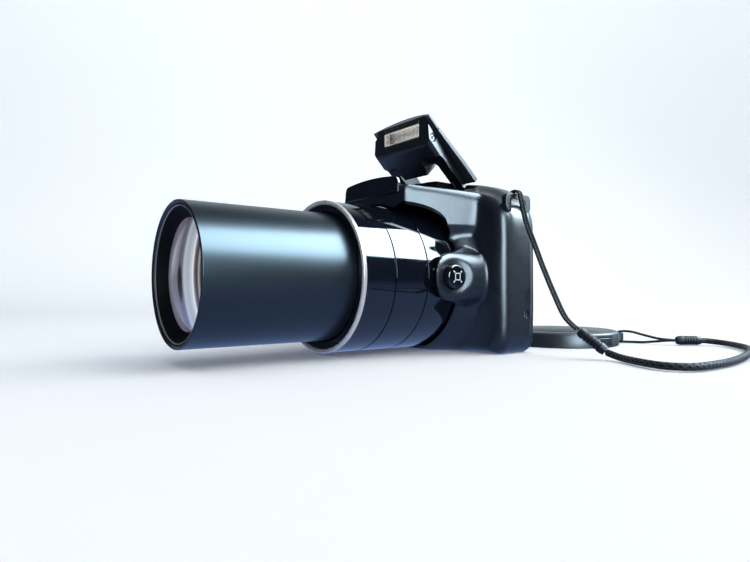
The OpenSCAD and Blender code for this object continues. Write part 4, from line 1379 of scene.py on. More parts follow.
    def cap_loop(self, lower: Piece) -> None:
        """Lay the loop on the cap over its eyelet, down the hole and back beneath it.

        Args:
            lower: The crimp that holds it; not used.
        """
        turn, r = radians(self.eye_turn), self.eye_bend
        x, y, z = self.eye_middle
        bend = []
        for a in np.linspace(0.0, pi, 7):
            back = r * sin(a)
            bend.append((x - back * cos(turn), y - back * sin(turn), z + r * cos(a)))
        path = self.smooth([*self.over_route, *bend, *self.under_route], 8)
        piece = self.tube("cap_loop_thread", path, self.loop_d)
        dressed(piece, THREAD, ROOT, "cord_black", "cap_loop")


@dataclass
class HousingForm:
    """The moulded housing as distances from the lens axis, with the front face as a height over them.

    The methods take angles in radians, counted from the left-hand side upwards. A slope is a flat side of
    the hump: the angle of its normal in degrees, and its distance from the lens axis.
    """

    lens_z: float = LENS_Z
    left: float = 43.0
    right: float = 61.4
    deck: float = 58.5
    hump: float = 69.8
    crest: float = 66.4
    rear_y: float = 13.8
    seam_y: float = 11.8
    slab_y: float = -4.8
    wall: float = 1.8
    ring_r: float = BARREL_R
    lip_y: float = -14.2
    lip_r: float = 29.4
    lip_flare: float = 6.1
    lip_pad: float = 2.1
    scoop_w: float = 15.1
    scoop_share: float = 0.25
    collar_w: float = 5.5
    visor_y: float = -32.5
    visor_half: float = 19.5
    visor_slope: float = 2.2
    visor_fade: float = 0.8
    visor_drop: float = 20.0
    boss_y: float = -28.0
    boss_slope: float = 4.3
    boss_r: float = 32.0
    boss_round: float = 9.0
    grip_d: float = 19.0
    grip_half: float = 13.2
    grip_x: float = -50.5
    edge_round: float = 4.5
    inner_min: float = 27.3
    cheek_y: float = 5.0
    blend: float = 3.0
    front_slope: Pair = (74.0, 41.6)
    rear_slope: Pair = (63.4, 47.0)
    right_slope: Pair = (135.0, 42.0)
    sharpness: float = 10.0
    dish: Point = (33.9, FRAMING_Y, LENS_Z)
    dish_axis: Point = (0.974, -0.226, 0.0)
    dish_r: float = 7.6
    dish_depth: float = 0.9

    @staticmethod
    def ramp(a: float, b: float, v: Array) -> Array:
        """Smooth step from nought at a to one at b."""
        t = np.clip((v - a) / (b - a), 0.0, 1.0)
        return t * t * (3.0 - 2.0 * t)

    @staticmethod
    def soft_max(a: Array, b: Array, k: float) -> Array:
        """Larger of two heights, blended over a width."""
        h = np.maximum(k - np.abs(a - b), 0.0) / k
        return np.maximum(a, b) + h * h * k / 4.0

    def soft_min(self, a: Array, b: Array, k: float) -> Array:
        """Smaller of two heights, blended over a width."""
        return -self.soft_max(-a, -b, k)

    def cornered(self, t: Array, sides: Outline) -> Array:
        """Outline round flat sides, each given by the angle of its normal and its distance.

        Args:
            t: Angles.
            sides: Angle of the normal and distance of each side.

        Returns:
            Distances from the lens axis.
        """
        total = np.zeros_like(t)
        for degrees, distance in sides:
            near = np.maximum(np.cos(t - radians(degrees)), 1e-4) / distance
            total += near**self.sharpness
        return total ** (-1.0 / self.sharpness)

    def crested(self, t: Array, left: Pair, right: Pair, top: float) -> Array:
        """Outline of the hump."""
        return self.cornered(t, [(0, self.left - 2), left, (90, top - self.lens_z), right,
                                 (180, self.left), (270, 20)])

    def on_base(self, t: Array, r: Array) -> Array:
        """Outline cut flat at the base.

        Args:
            t: Angles.
            r: Distances.

        Returns:
            The distances, cut.
        """
        down = np.sin(t) < -1e-6
        cut = np.where(down, self.lens_z / np.where(down, -np.sin(t), 1.0), np.inf)
        return np.minimum(r, cut)

    def front_r(self, t: Array) -> Array:
        """Outline at the front of the housing.

        Args:
            t: Angles.

        Returns:
            Distances from the lens axis.
        """
        slab = self.cornered(t, [(0, self.left), (180, self.right), (90, self.deck - self.lens_z),
                                 (270, self.lens_z + 1.2)])
        crest = self.crested(t, self.front_slope, self.right_slope, self.crest)
        return self.on_base(t, self.soft_max(slab, crest, self.blend))

    def rear_r(self, t: Array) -> Array:
        """Outline at the rear of the housing.

        Args:
            t: Angles.

        Returns:
            Distances from the lens axis.
        """
        right = (self.right_slope[0], self.right_slope[1] + 2.0)
        crest = self.crested(t, self.rear_slope, right, self.hump + 0.6)
        return self.on_base(t, self.soft_max(self.front_r(t), crest, self.blend))

    def arch_r(self, t: Array) -> Array:
        """Outline of the crown over the flash."""
        mirrored = (180.0 - self.rear_slope[0], self.rear_slope[1])
        return self.crested(t, self.rear_slope, mirrored, self.hump + 0.6)

    def side_r(self, t: Array, y: Array) -> Array:
        """Outline at a depth between the front and the rear."""
        share = self.ramp(-2.0, self.cheek_y + 2.0, y)
        return self.front_r(t) * (1.0 - share) + self.rear_r(t) * share

    def scoop(self, rho: Array) -> Array:
        """Height of the hollow round the barrel and of the collar beside it.

        Args:
            rho: Distances from the lens axis.

        Returns:
            Depths along Y.
        """
        q = rho - self.lip_r
        collar = self.ramp(0.0, self.collar_w, q)
        share = collar + (self.ramp(self.collar_w / 2, self.scoop_w, q) - collar) * self.scoop_share
        return self.lip_y + (self.slab_y - self.lip_y) * share

    def boss(self, rho: Array, x: Array, z: Array) -> Array:
        """Height of the boss that carries the framing button.

        Args:
            rho: Distances from the lens axis.
            x: Places across.
            z: Heights.

        Returns:
            Depths along Y.
        """
        d = np.abs(z - self.lens_z)
        nose = self.boss_round - np.sqrt(np.maximum(0.0, self.boss_round**2 - d**2))
        nose = nose + 3.0 * np.maximum(0.0, d - self.boss_round)
        out = self.boss_y + self.boss_slope * np.maximum(0.0, rho - self.boss_r) + nose
        return np.where(x < 0.0, 0.0, out)

    def face_y(self, rho: Array, t: Array) -> Array:
        """Height of the front face at a distance and an angle.

        Args:
            rho: Distances from the lens axis.
            t: Angles.

        Returns:
            Depths along Y.
        """
        x, z = rho * np.cos(t), self.lens_z + rho * np.sin(t)
        visor = self.visor_y + self.visor_slope * np.maximum(0.0, np.abs(x) - self.visor_half)
        visor = visor + self.visor_fade * np.maximum(0.0, self.lens_z + self.visor_drop - z)
        visor = np.where(z < self.lens_z, 0.0, visor)
        g = (x - self.grip_x) / self.grip_half
        taper = 1.0 - 0.5 * self.ramp(38.0, 62.0, z)
        grip = self.slab_y - self.grip_d * taper * np.maximum(0.0, 1.0 - g * g) * (1.0 + 0.6 * g * g)
        return self.soft_min(self.soft_min(self.scoop(rho), visor, 3.0),
                             self.soft_min(self.boss(rho, x, z), grip, 3.0), 2.0)

    def lip_at(self, t: Array) -> Array:
        """Edge that shows round the barrel.

        Args:
            t: Angles.

        Returns:
            Distances from the lens axis.
        """
        degrees = np.degrees(t)
        flare = np.maximum(0.0, 1.0 - ((np.abs(90.0 - degrees) - 42.0) / 18.0) ** 2)
        level = np.where(degrees > 180.0, degrees - 360.0, degrees)
        pad = np.maximum(0.0, 1.0 - (level / 24.0) ** 2)
        return np.minimum(self.lip_r + self.lip_flare * flare + self.lip_pad * pad, self.front_r(t) - 1.75)

    def edge_at(self, t: Array) -> Array:
        """Rounding of the front edge.

        Args:
            t: Angles.

        Returns:
            Radii of the rounding.
        """
        degrees = np.degrees(t)
        room = self.front_r(t) - self.lip_at(t)
        crown = self.ramp(52.0, 64.0, degrees) * (1.0 - self.ramp(116.0, 128.0, degrees))
        return np.minimum(np.maximum(0.45 * room, 0.7), self.edge_round * (1.0 - crown) + 1.2 * crown)

    def section_rows(self, t: Array) -> list[tuple[Array, Array]]:
        """Rows of the closed shell, each as distances and depths over all the angles.

        Args:
            t: Angles of the columns.

        Returns:
            Rows from the lip out, back along the side and home inside.
        """
        r, e, lip = self.front_r(t), self.edge_at(t), self.lip_at(t)
        rows = []
        for v in np.linspace(0.0, 1.0, 44) ** 1.25:
            q = lip + (r - e - lip) * v
            rows.append((q, self.face_y(q, t)))
        for a in np.radians(np.linspace(10.0, 90.0, 9)):
            q = r - e + e * np.sin(a)
            rows.append((q, self.face_y(q, t) + e * (1.0 - np.cos(a))))
        start = self.face_y(r, t) + e
        groove = self.seam_y - 0.3
        for v in np.linspace(0.08, 1.0, 14):
            y = start + (groove - start) * v
            rows.append((self.side_r(t, y), y))
        full = np.full_like(t, self.seam_y)
        rows.append((self.side_r(t, full) - 0.25, full))
        for v in (1.0, 0.6, 0.3, 0.0):
            y = start + self.wall + (self.seam_y - start - self.wall) * v
            rows.append((np.maximum(self.inner_min + 0.2, self.side_r(t, y) - self.wall), y))
        for j, v in reversed(list(enumerate(np.linspace(0.0, 1.0, 14) ** 1.25))):
            q = lip + (r - e - lip) * v
            slope = (self.face_y(q + 0.2, t) - self.face_y(q - 0.2, t)) / 0.4
            slope = np.where(np.cos(t) < -0.3, 0.0, slope)
            w = (self.wall - 0.2) / np.sqrt(1.0 + slope**2)
            y = self.face_y(q, t) + w + 0.012 * j
            clear = np.where(y < self.lip_y + 0.2, self.ring_r + 0.35, self.inner_min) + 0.012 * j
            limit = self.side_r(t, y) - self.wall - 0.012 * (14 - j)
            rows.append((np.maximum(clear, np.minimum(q - slope * w, limit)), y))
        return rows

    def dished(self, points: Array) -> Array:
        """Press a soft dish round the framing button into points of the outer face.

        Args:
            points: The points.

        Returns:
            The points, pressed in.
        """
        axis = np.asarray(self.dish_axis)
        off = points - np.asarray(self.dish)
        along = off @ axis
        away = np.linalg.norm(off - along[..., None] * axis, axis=-1)
        depth = self.dish_depth * (1.0 - self.ramp(0.55 * self.dish_r, self.dish_r, away))
        return points - np.where(np.abs(along) < 4.0, depth, 0.0)[..., None] * axis


@dataclass
class Housing:
    """Front shell, rear cover, fascia, lugs and tripod insert."""

    form: HousingForm = field(default_factory=HousingForm)
    columns: int = 540
    outer_rows: int = 53
    lug_y: float = 4.2
    lug_z: float = 57.0
    thumb: Point = (-51.0, 9.9, 49.0)
    thumb_r: float = 6.0

    def shell(self) -> Piece:
        """Mould the front shell and cut its openings.

        Returns:
            The shell.
        """
        t = full_turn(self.columns)
        rows = self.form.section_rows(t)
        z0 = self.form.lens_z
        points = np.stack(
            [np.stack([q * np.cos(t), y, z0 + q * np.sin(t)], axis=1) for q, y in rows], axis=1)
        points[:, :self.outer_rows] = self.form.dished(points[:, :self.outer_rows])
        made = solid("front_shell_moulded", points.reshape(-1, 3),
                     ring_faces(self.columns, len(rows), True), 40.0)
        return carve(made, self.openings())

    def openings(self) -> list[Piece]:
        """Bodies that cut the shell's openings.

        Returns:
            The bodies.
        """
        f = self.form
        floor = f.lens_z + f.ring_r + 0.5
        (outer, slant, inner), (front, step, back) = DOOR_X, DOOR_Y
        door = [(outer, front), (slant, front), (inner, step), (inner, back), (outer, back)]
        rails = [(-30.0, 67.4), (-27.0, 66.2), (f.cheek_y, 65.4), (f.cheek_y, 95.4), (-30.0, 95.4)]
        return [
            box("well", (-18.2, -31.0, floor), (18.2, f.cheek_y, 90.0)),
            box("knuckle_gap", (-14.0, f.cheek_y - 1.0, floor), (14.0, f.seam_y - 0.05, 90.0)),
            side_view("rails", rails, -22.0, 22.0),
            rod("framing", (29.0, FRAMING_Y, f.lens_z), AXIS_X, 4.8, 12.0),
            rod("shutter", (*SHUTTER_AT, 45.5), AXIS_Z, 4.6, 30.0),
            rod("power", (*POWER_AT, 45.5), AXIS_Z, 3.7, 30.0),
            rod("lamp", (LAMP_AT[0], -30.0, LAMP_AT[1]), AXIS_Y, 2.5, 35.0),
            rod("tripod", (*TRIPOD_AT, -1.0), AXIS_Z, 5.0, 6.0),
            rod("side_screw", (40.0, 9.0, 14.9), AXIS_X, 1.62, 9.0),
            plan_view("battery_gap", door, -1.0, 6.0),
            box("terminal_gap", (-64.4, 4.4, 24.0), (-57.4, 10.8, 40.0)),
        ]

    def cover(self) -> Piece:
        """Loft the rear cover with its rolled edge, and cut the screen and the button holes.

        Returns:
            The cover.
        """
        f, rim = self.form, 1.2
        t = full_turn(360)
        rows = [(rim * (cos(a) - 1.0), f.rear_y - rim + rim * sin(a))
                for a in np.radians(np.linspace(90.0, 0.0, 7))]
        rows += [(0.0, f.seam_y + 0.3), (-0.25, f.seam_y)]
        rings = []
        for grow, y in rows:
            r = f.rear_r(t) + grow
            z = np.maximum(f.lens_z + r * np.sin(t), 0.0)
            rings.append(np.stack([r * np.cos(t), np.full_like(t, y), z], axis=1))
        made = loft("rear_cover_moulded", np.array(rings), 40.0)
        window = shifted(rounded_rect(*SCREEN_SIZE), SCREEN_AT)
        pocket = shifted(rounded_rect(30.0, 50.0, 3.0), (-43.0, 30.0))
        cuts = [front_view("window", window, 10.0, 18.0), front_view("pocket", pocket, 10.8, 12.6)]
        for k, (x, z, r) in enumerate(REAR_HOLES):
            cuts.append(rod(f"hole_{k}", (x, 5.0, z), AXIS_Y, r + 0.3, 20.0))
        carve(made, cuts)
        return merge("rear_cover_moulded", [made, self.thumb_rest()])

    def thumb_rest(self) -> Piece:
        """Turn the low dome under the thumb.

        Returns:
            The dome.
        """
        inside = self.form.rear_y - self.thumb[1] - 0.3
        edge = sqrt(self.thumb_r**2 - inside**2)
        profile = [(0.0, inside - 0.4), (edge, inside - 0.4)]
        for k in range(13):
            a = asin(edge / self.thumb_r) * (1.0 - k / 12)
            profile.append((self.thumb_r * sin(a), self.thumb_r * cos(a)))
        return revolve("thumb_rest", profile, self.thumb, segments=64)

    def thumb_dots(self) -> Piece:
        """Set rings of fine dots on the thumb rest.

        Returns:
            All the dots as one piece.
        """
        rings = []
        for k, (reach, count) in enumerate(((1.3, 6), (2.6, 12), (3.8, 18))):
            high = sqrt(self.thumb_r**2 - reach**2) - 0.12
            place = (self.thumb[0], self.thumb[1] + high, self.thumb[2])
            rings.append(Repeat(f"thumb_ring_{k}", Layout.RING, count, reach, (0.32, 0.32, 0.32), True,
                                place, (-90.0, 0.0, 0.0)).build(SOFT))
        return merge("thumb_dots", rings)

    def fascia(self) -> Piece:
        """Cut the gloss plate on the front of the hump.

        Returns:
            The plate.
        """
        f = self.form
        first = atan2(66.9 - f.lens_z, 15.8)
        t = np.linspace(first, pi - first, 41)
        r = f.arch_r(t) - 1.4
        arch = [(float(q * np.cos(a)), float(f.lens_z + q * np.sin(a))) for q, a in zip(r, t)]
        side = [(16.9, 65.8), (17.2, 64.4), (17.2, 61.0)]
        outline = arch + [(-x, z) for x, z in side] + side[::-1]
        return bevelled(front_view("hump_fascia_gloss", outline, -33.9, -32.5), 0.35, 3)

    def lug(self, name: str, x: float) -> Piece:
        """Cut one strap lug with its slot and round its edges.

        Args:
            name: Name of the piece.
            x: Where it starts across the camera.

        Returns:
            The lug.
        """
        place = (x, self.lug_y, self.lug_z)
        outer = shifted(rounded_rect(14.6, 7.0, 2.2), (0.0, 0.2))
        slot = shifted(rounded_rect(8.4, 5.6, 1.2), (0.0, -1.1))
        made = extrude(name, outer, place, AXIS_Y, AXIS_Z, 2.2)
        carve(made, [extrude("slot", slot, (x - 1.0, *place[1:]), AXIS_Y, AXIS_Z, 5.0)])
        return bevelled(plain_faces(made), 0.45, 3, 50.0)

    def insert(self) -> Piece:
        """Turn the tripod insert with the turns of its thread.

        Returns:
            The insert.
        """
        pitch, major, minor, deep = 1.27, 3.175, 2.75, 5.0
        bore = [(major + 0.6, 0.0)]
        z = 0.5
        while z + pitch < deep:
            bore += [(major, z), (minor, z + 0.5 * pitch)]
            z += pitch
        profile = [(0.0, deep), (0.0, 6.0), (5.0, 6.0), (5.0, 0.15), (4.85, 0.0), *bore, (major, deep)]
        return revolve("tripod_insert", profile, (*TRIPOD_AT, 0.0), AXIS_Z, 64, 20.0)

    def build(self) -> None:
        """Make and dress the housing."""
        dressed(self.shell(), SATIN, ROOT, "housing_satin", "front_shell")
        dressed(self.cover(), SATIN, ROOT, "housing_satin", "rear_cover")
        dressed(self.thumb_dots(), SOFT, ROOT, "soft_door")
        dressed(self.fascia(), GLOSS, ROOT, "gloss_black", "hump_fascia")
        for side, x in (("left", 41.0), ("right", -61.6)):
            dressed(self.lug(f"lug_{side}", x), BLACK_METAL, ROOT, "lug_black", f"strap_lug_{side}")
        dressed(self.insert(), STEEL, ROOT, "steel", "tripod_socket")
        paint(MATTE, "flash_tray")
        paint(STEEL, "chassis", "flash_pin", "usb_socket", "zoom_motor")
        paint(SCREW, "housing_screws")


@dataclass
class Lens:
    """Barrel sections, bright ring, sliding tube, baffle and glass."""

    lens_z: float = LENS_Z
    ring_r: float = BARREL_R
    ring_y: float = -58.0
    ring_w: float = 1.4
    tube_r: float = 23.7
    tube_front: float = -111.3
    tube_back: float = -50.8
    housing_r: float = 26.4
    glass_r: float = 18.8

    def turned(self, name: str, profile: Outline) -> Piece:
        """Turn a profile of radius and Y about the lens axis."""
        return revolve(name, profile, (0.0, 0.0, self.lens_z), segments=240)

    def barrel(self) -> None:
        """Turn the fixed barrel sections and the bright ring."""
        r, y0, inner, slide = self.ring_r, self.ring_y, self.housing_r, self.tube_r + 0.5
        ring = self.turned("bright_ring", [
            (r - 1.6, y0 + 0.5), (r - 1.0, y0), (r - 0.25, y0), (r, y0 + 0.25),
            (r, y0 + self.ring_w), (r - 1.6, y0 + self.ring_w)])
        dressed(bevelled(ring, 0.08), BRIGHT, ROOT, "bright_ring", "silver_ring")
        front = y0 + self.ring_w
        sections = (
            ("barrel_front_gloss", "barrel_front", [
                (slide, y0 + 1.1), (r - 1.6, y0 + 0.9), (r - 1.6, front), (r - 0.2, front),
                (r - 0.2, front + 12.7), (inner, front + 12.7), (inner, y0 + 2.4), (slide, y0 + 2.4)]),
            ("barrel_middle_gloss", "barrel_mid", [
                (inner, -43.6), (r - 0.1, -43.6), (r - 0.1, -28.8), (inner, -28.8)]),
            ("barrel_base_gloss", "barrel_base", [
                (inner, -28.5), (r, -28.5), (r, -14.5), (26.9, -14.5), (26.9, -9.7), (inner, -9.7)]))
        for name, node, profile in sections:
            dressed(bevelled(self.turned(name, profile), 0.15), GLOSS, ROOT, "gloss_black", node)

    def slider(self) -> None:
        """Turn the sliding tube, its baffle and the front glass."""
        r, y0 = self.tube_r, self.tube_front
        tube = self.turned("zoom_tube_satin", [
            (r - 1.2, y0 + 0.6), (r - 0.6, y0), (r - 0.3, y0), (r, y0 + 0.3), (r, self.tube_back - 2.0),
            (r + 0.52, self.tube_back - 2.0), (r + 0.52, self.tube_back), (r - 1.2, self.tube_back)])
        dressed(bevelled(tube, 0.12), TUBE, "zoom_tube", "tube_black", "zoom_tube")
        g = self.glass_r
        baffle = self.turned("front_baffle_stepped", [
            (r - 1.2, y0 + 0.6), (r - 1.2, y0 + 8.0), (g - 0.35, y0 + 8.0), (g - 0.35, y0 + 4.6),
            (g + 0.2, y0 + 4.1), *self.ribs(7), (r - 2.2, y0 + 1.2)])
        dressed(bevelled(baffle, 0.1), MATTE, "zoom_tube", "inner_black", "front_baffle")
        # A thin grey ring at the tube's front edge: a painted highlight on that edge.
        rim = self.turned("front_rim_painted_highlight", [
            (r - 2.0, y0 + 1.2), (r - 2.0, y0 + 0.75), (r - 1.7, y0 + 0.65), (r - 1.7, y0 + 1.2)])
        dressed(rim, RIM_PAINTED_HIGHLIGHT, "zoom_tube", "tube_black")
        dome, back = 50.0, y0 + 12.5
        front = []
        for k in range(33):
            q = (g - 0.5) * k / 32
            front.append((q, y0 + 0.85 + dome - sqrt(dome**2 - q**2)))
        glass = self.turned("front_glass", [
            *front, (g - 0.5, y0 + 8.2), (g, y0 + 8.2), (g, back), (0.0, back)])
        dressed(glass, FRONT_GLASS, "zoom_tube", "optical_glass", "front_element")

    def ribs(self, count: int) -> list[Pair]:
        """Fine steps that keep stray light out of the front cone.

        Args:
            count: Number of steps.

        Returns:
            Distances from the lens axis and places along it.
        """
        r0, y0 = self.glass_r + 0.2, self.tube_front + 4.1
        wide, deep = self.tube_r - 2.2 - r0, -2.9
        out = []
        for k in range(1, count + 1):
            u = k / (count + 1)
            out += [(r0 + wide * u, y0 + deep * u + 0.3), (r0 + wide * u, y0 + deep * u)]
        return out

    def build(self) -> None:
        """Make and dress the lens."""
        self.barrel()
        self.slider()
        paint(MATTE, "lens_housing", "lens_cell", "zoom_group")
        paint(LENS_GLASS, "zoom_glass")
        paint(CAM, "cam_barrel")


@dataclass
class Flash:
    """The pop-up flash, drawn shut and then raised about its hinge."""

    form: HousingForm = field(default_factory=HousingForm)
    hinge: Pair = (7.0, 65.0)
    angle: float = 45.0
    front: float = -30.65
    top: float = 67.4
    low: float = 58.5
    arm_low: float = 61.5
    arm_back: float = 2.7
    arm_in: float = 12.2
    half: float = 17.5
    lobe_half: float = 8.0
    lobe_back: float = -9.3
    notch_r: float = 2.5
    knuckle: Pair = (4.2, 13.4)
    window: Pair = (23.0, 7.2)
    window_drop: float = 0.7

    def raised(self, piece: Piece) -> Piece:
        """Turn a piece up about the hinge.

        Args:
            piece: The piece, as it lies when the flash is shut.

        Returns:
            The same piece.
        """
        place = Matrix.Translation((0.0, self.hinge[0] * MM, self.hinge[1] * MM))
        piece.data.transform(place @ Matrix.Rotation(-radians(self.angle), 4, "X") @ place.inverted())
        return piece

    def on_face(
        self, name: str, outline: Outline, z0: float, z1: float, x: float = 0.0, drop: float = 0.0
    ) -> Piece:
        """Extrude an outline square to the slanting face.

        Args:
            name: Name of the object.
            outline: Outline about the middle of the window.
            z0: Where it starts, out of the face.
            z1: Where it ends.
            x: Shift across.
            drop: Shift down the face.

        Returns:
            The extruded object.
        """
        c = sqrt(0.5)
        step = (self.window_drop + self.window[1] / 2) * c
        out, up = Vector((0.0, -c, -c)), Vector((0.0, -c, c))
        origin = Vector((x, self.front + step, self.top - step)) + out * z0 - up * drop
        return extrude(name, outline, tuple(origin), AXIS_X, tuple(up), z1 - z0)

    def face_cuts(self) -> list[Piece]:
        """Recess of the window and of the mirror behind it.

        Returns:
            The bodies that cut it.
        """
        w, h = self.window
        return [self.on_face("mirror_space", rounded_rect(w - 1.0, h - 2.0, 0.4), -4.2, 1.0, drop=0.5),
                self.on_face("window_space", rounded_rect(w, h, 0.4), -0.9, 2.1)]

    def gap_cuts(self) -> list[Piece]:
        """Space between the arms, with round notches beside the lobe.

        Returns:
            The bodies that cut it.
        """
        low, high = (-self.arm_in, self.lobe_back, 50.0), (self.arm_in, self.arm_back + 20.0, 90.0)
        cuts = [box("arm_gap", low, high)]
        for s in (-1.0, 1.0):
            place = (s * (self.arm_in - self.notch_r), self.lobe_back - 0.6, 50.0)
            cuts.append(rod(f"notch_{s:.0f}", place, AXIS_Z, self.notch_r, 40.0))
        return cuts

    def case(self) -> Piece:
        """Cut the head, its lobe and its arms, and add the hinge knuckle.

        Returns:
            The case, raised.
        """
        low, top, half = self.low, self.top, self.half
        right = [(10.5, low), (14.6, low + 0.35), (16.4, low + 1.0), (half - 0.15, low + 1.9),
                 (half - 0.1, low + 2.4), (half - 0.6, low + 6.2), (15.4, low + 7.0), (15.0, low + 7.6),
                 (15.0, top)]
        made = front_view("flash_case_moulded", right + [(-x, z) for x, z in right[::-1]],
                          self.front - 1.0, self.arm_back)
        y1, z1 = self.front + 6.8, top - 6.8
        profile = [(self.front, top), (y1, z1), (y1 + 0.9, z1 - 1.0), (y1 + 1.9, z1 - 1.7),
                   (y1 + 3.0, low), (self.lobe_back, low), (self.lobe_back, self.arm_low),
                   (self.arm_back, self.arm_low + 1.0), (self.arm_back, top)]
        carve(made, [side_view("profile", profile, -half, half)], Join.MEET)
        reach = half - self.lobe_half + 2.5
        cuts = self.gap_cuts() + self.face_cuts()
        for s in (-1.0, 1.0):
            mid, y = s * (self.lobe_half + reach / 2), self.lobe_back - 4.0
            cuts.append(box(f"under_{s:.0f}", (mid - reach / 2, y, low - 5.0),
                            (mid + reach / 2, self.arm_back + 1.0, self.arm_low)))
            cuts.append(rod(f"hollow_{s:.0f}", (mid - reach / 2, y, low), AXIS_X, 2.9, reach))
            cuts.append(rod(f"screw_{s:.0f}", (s * 15.2, -22.8, 62.8), (s, 0, 0), 1.75, 4.0))
        carve(made, cuts)
        bevelled(plain_faces(made), 0.22, 2, 40.0)
        return self.raised(merge("flash_case_moulded", [made, *self.knuckles()]))

    def knuckles(self) -> list[Piece]:
        """Hinge knuckle, and the cheeks that join it to the arms.

        Returns:
            The bodies, shut.
        """
        r, reach = self.knuckle
        y, z = self.hinge
        out = [bevelled(rod("knuckle", (-reach, y, z), AXIS_X, r, 2.0 * reach), 0.3)]
        outline = [(self.arm_back - 5.0, self.arm_low + 0.6), (y, z - 3.6), (y, z + 3.6),
                   (self.arm_back + 0.1, self.top), (self.arm_back - 5.0, self.top)]
        for s in (-1.0, 1.0):
            mid = s * (self.arm_in + reach) / 2
            out.append(bevelled(side_view(f"cheek_{s:.0f}", outline, mid - 0.6, mid + 0.6), 0.15))
        return out

    def cover(self) -> Piece:
        """Loft the cover, which widens to the rear and has a small step in its edges.

        Returns:
            The cover, raised.
        """
        t = np.linspace(radians(40.0), radians(140.0), 400)
        r = self.form.arch_r(t)
        arch_x, arch_z = (r * np.cos(t))[::-1], (self.form.lens_z + r * np.sin(t))[::-1]
        sections = ((self.front, 17.5, 66.7, 1.0), (-24.0, 17.9, 66.6, 0.8), (-23.7, 18.3, 66.15, 0.8),
                    (-6.0, 20.6, 65.85, 0.2), (self.arm_back, 21.2, 65.7, 0.0))
        rings = []
        for y, half, low, dome in sections:
            x = np.linspace(half, -half, 41)
            swell = dome * (0.7 - 1.7 * np.abs(x / half) ** 2.2)
            crown = list(zip(x, np.interp(x, arch_x, arch_z) + swell))
            edge = [(half, low), (15.3, low), (15.0, self.top)]
            under = [(-q, z) for q, z in edge] + edge[::-1]
            rings.append([(q, y, z) for q, z in crown + under])
        made = loft("flash_cover_moulded", np.array(rings), 20.0)
        carve(made, self.gap_cuts() + self.face_cuts())
        return self.raised(bevelled(plain_faces(made), 0.18, 2, 40.0))

    def lamp(self) -> None:
        """Glaze the window over fine upright prisms and a dark electrode post."""
        w, h = self.window
        pane = self.on_face("flash_window_pane", rounded_rect(w, h, 0.4), -0.9, 0.1)
        dressed(self.raised(bevelled(pane, 0.12)), FLASH_CLEAR, "flash", "flash_clear", "flash_window")
        c = sqrt(0.5)
        step = (self.window_drop + h / 2) * c
        depth, count, pitch = -1.15, 27, 0.8
        place = (-pitch * (count - 1) / 2, self.front + step - depth * c, self.top - step - depth * c)
        prisms = Repeat("flash_prisms", Layout.ROW, count, pitch, (0.42, h - 2.2, 0.3), False, place,
                        (135.0, 0.0, 0.0)).build(FLASH_CLEAR)
        dressed(self.raised(prisms), FLASH_CLEAR, "flash", "flash_clear")
        post = self.on_face("flash_post", rounded_rect(1.4, h - 2.2, 0.2), -3.0, -1.5, -7.4, 0.5)
        dressed(self.raised(post), POST, "flash", "parts_dark")

    def build(self) -> None:
        """Make and dress the flash."""
        dressed(self.case(), CASE, "flash", "inner_black", "flash_case")
        dressed(self.cover(), SATIN, "flash", "housing_satin", "flash_cover")
        self.lamp()
        paint(MIRROR, "flash_reflector")
        paint(FLASH_CLEAR, "flash_tube")
        paint(SCREW, "flash_screws")
        paint(DARK_PART, "flash_capacitor")


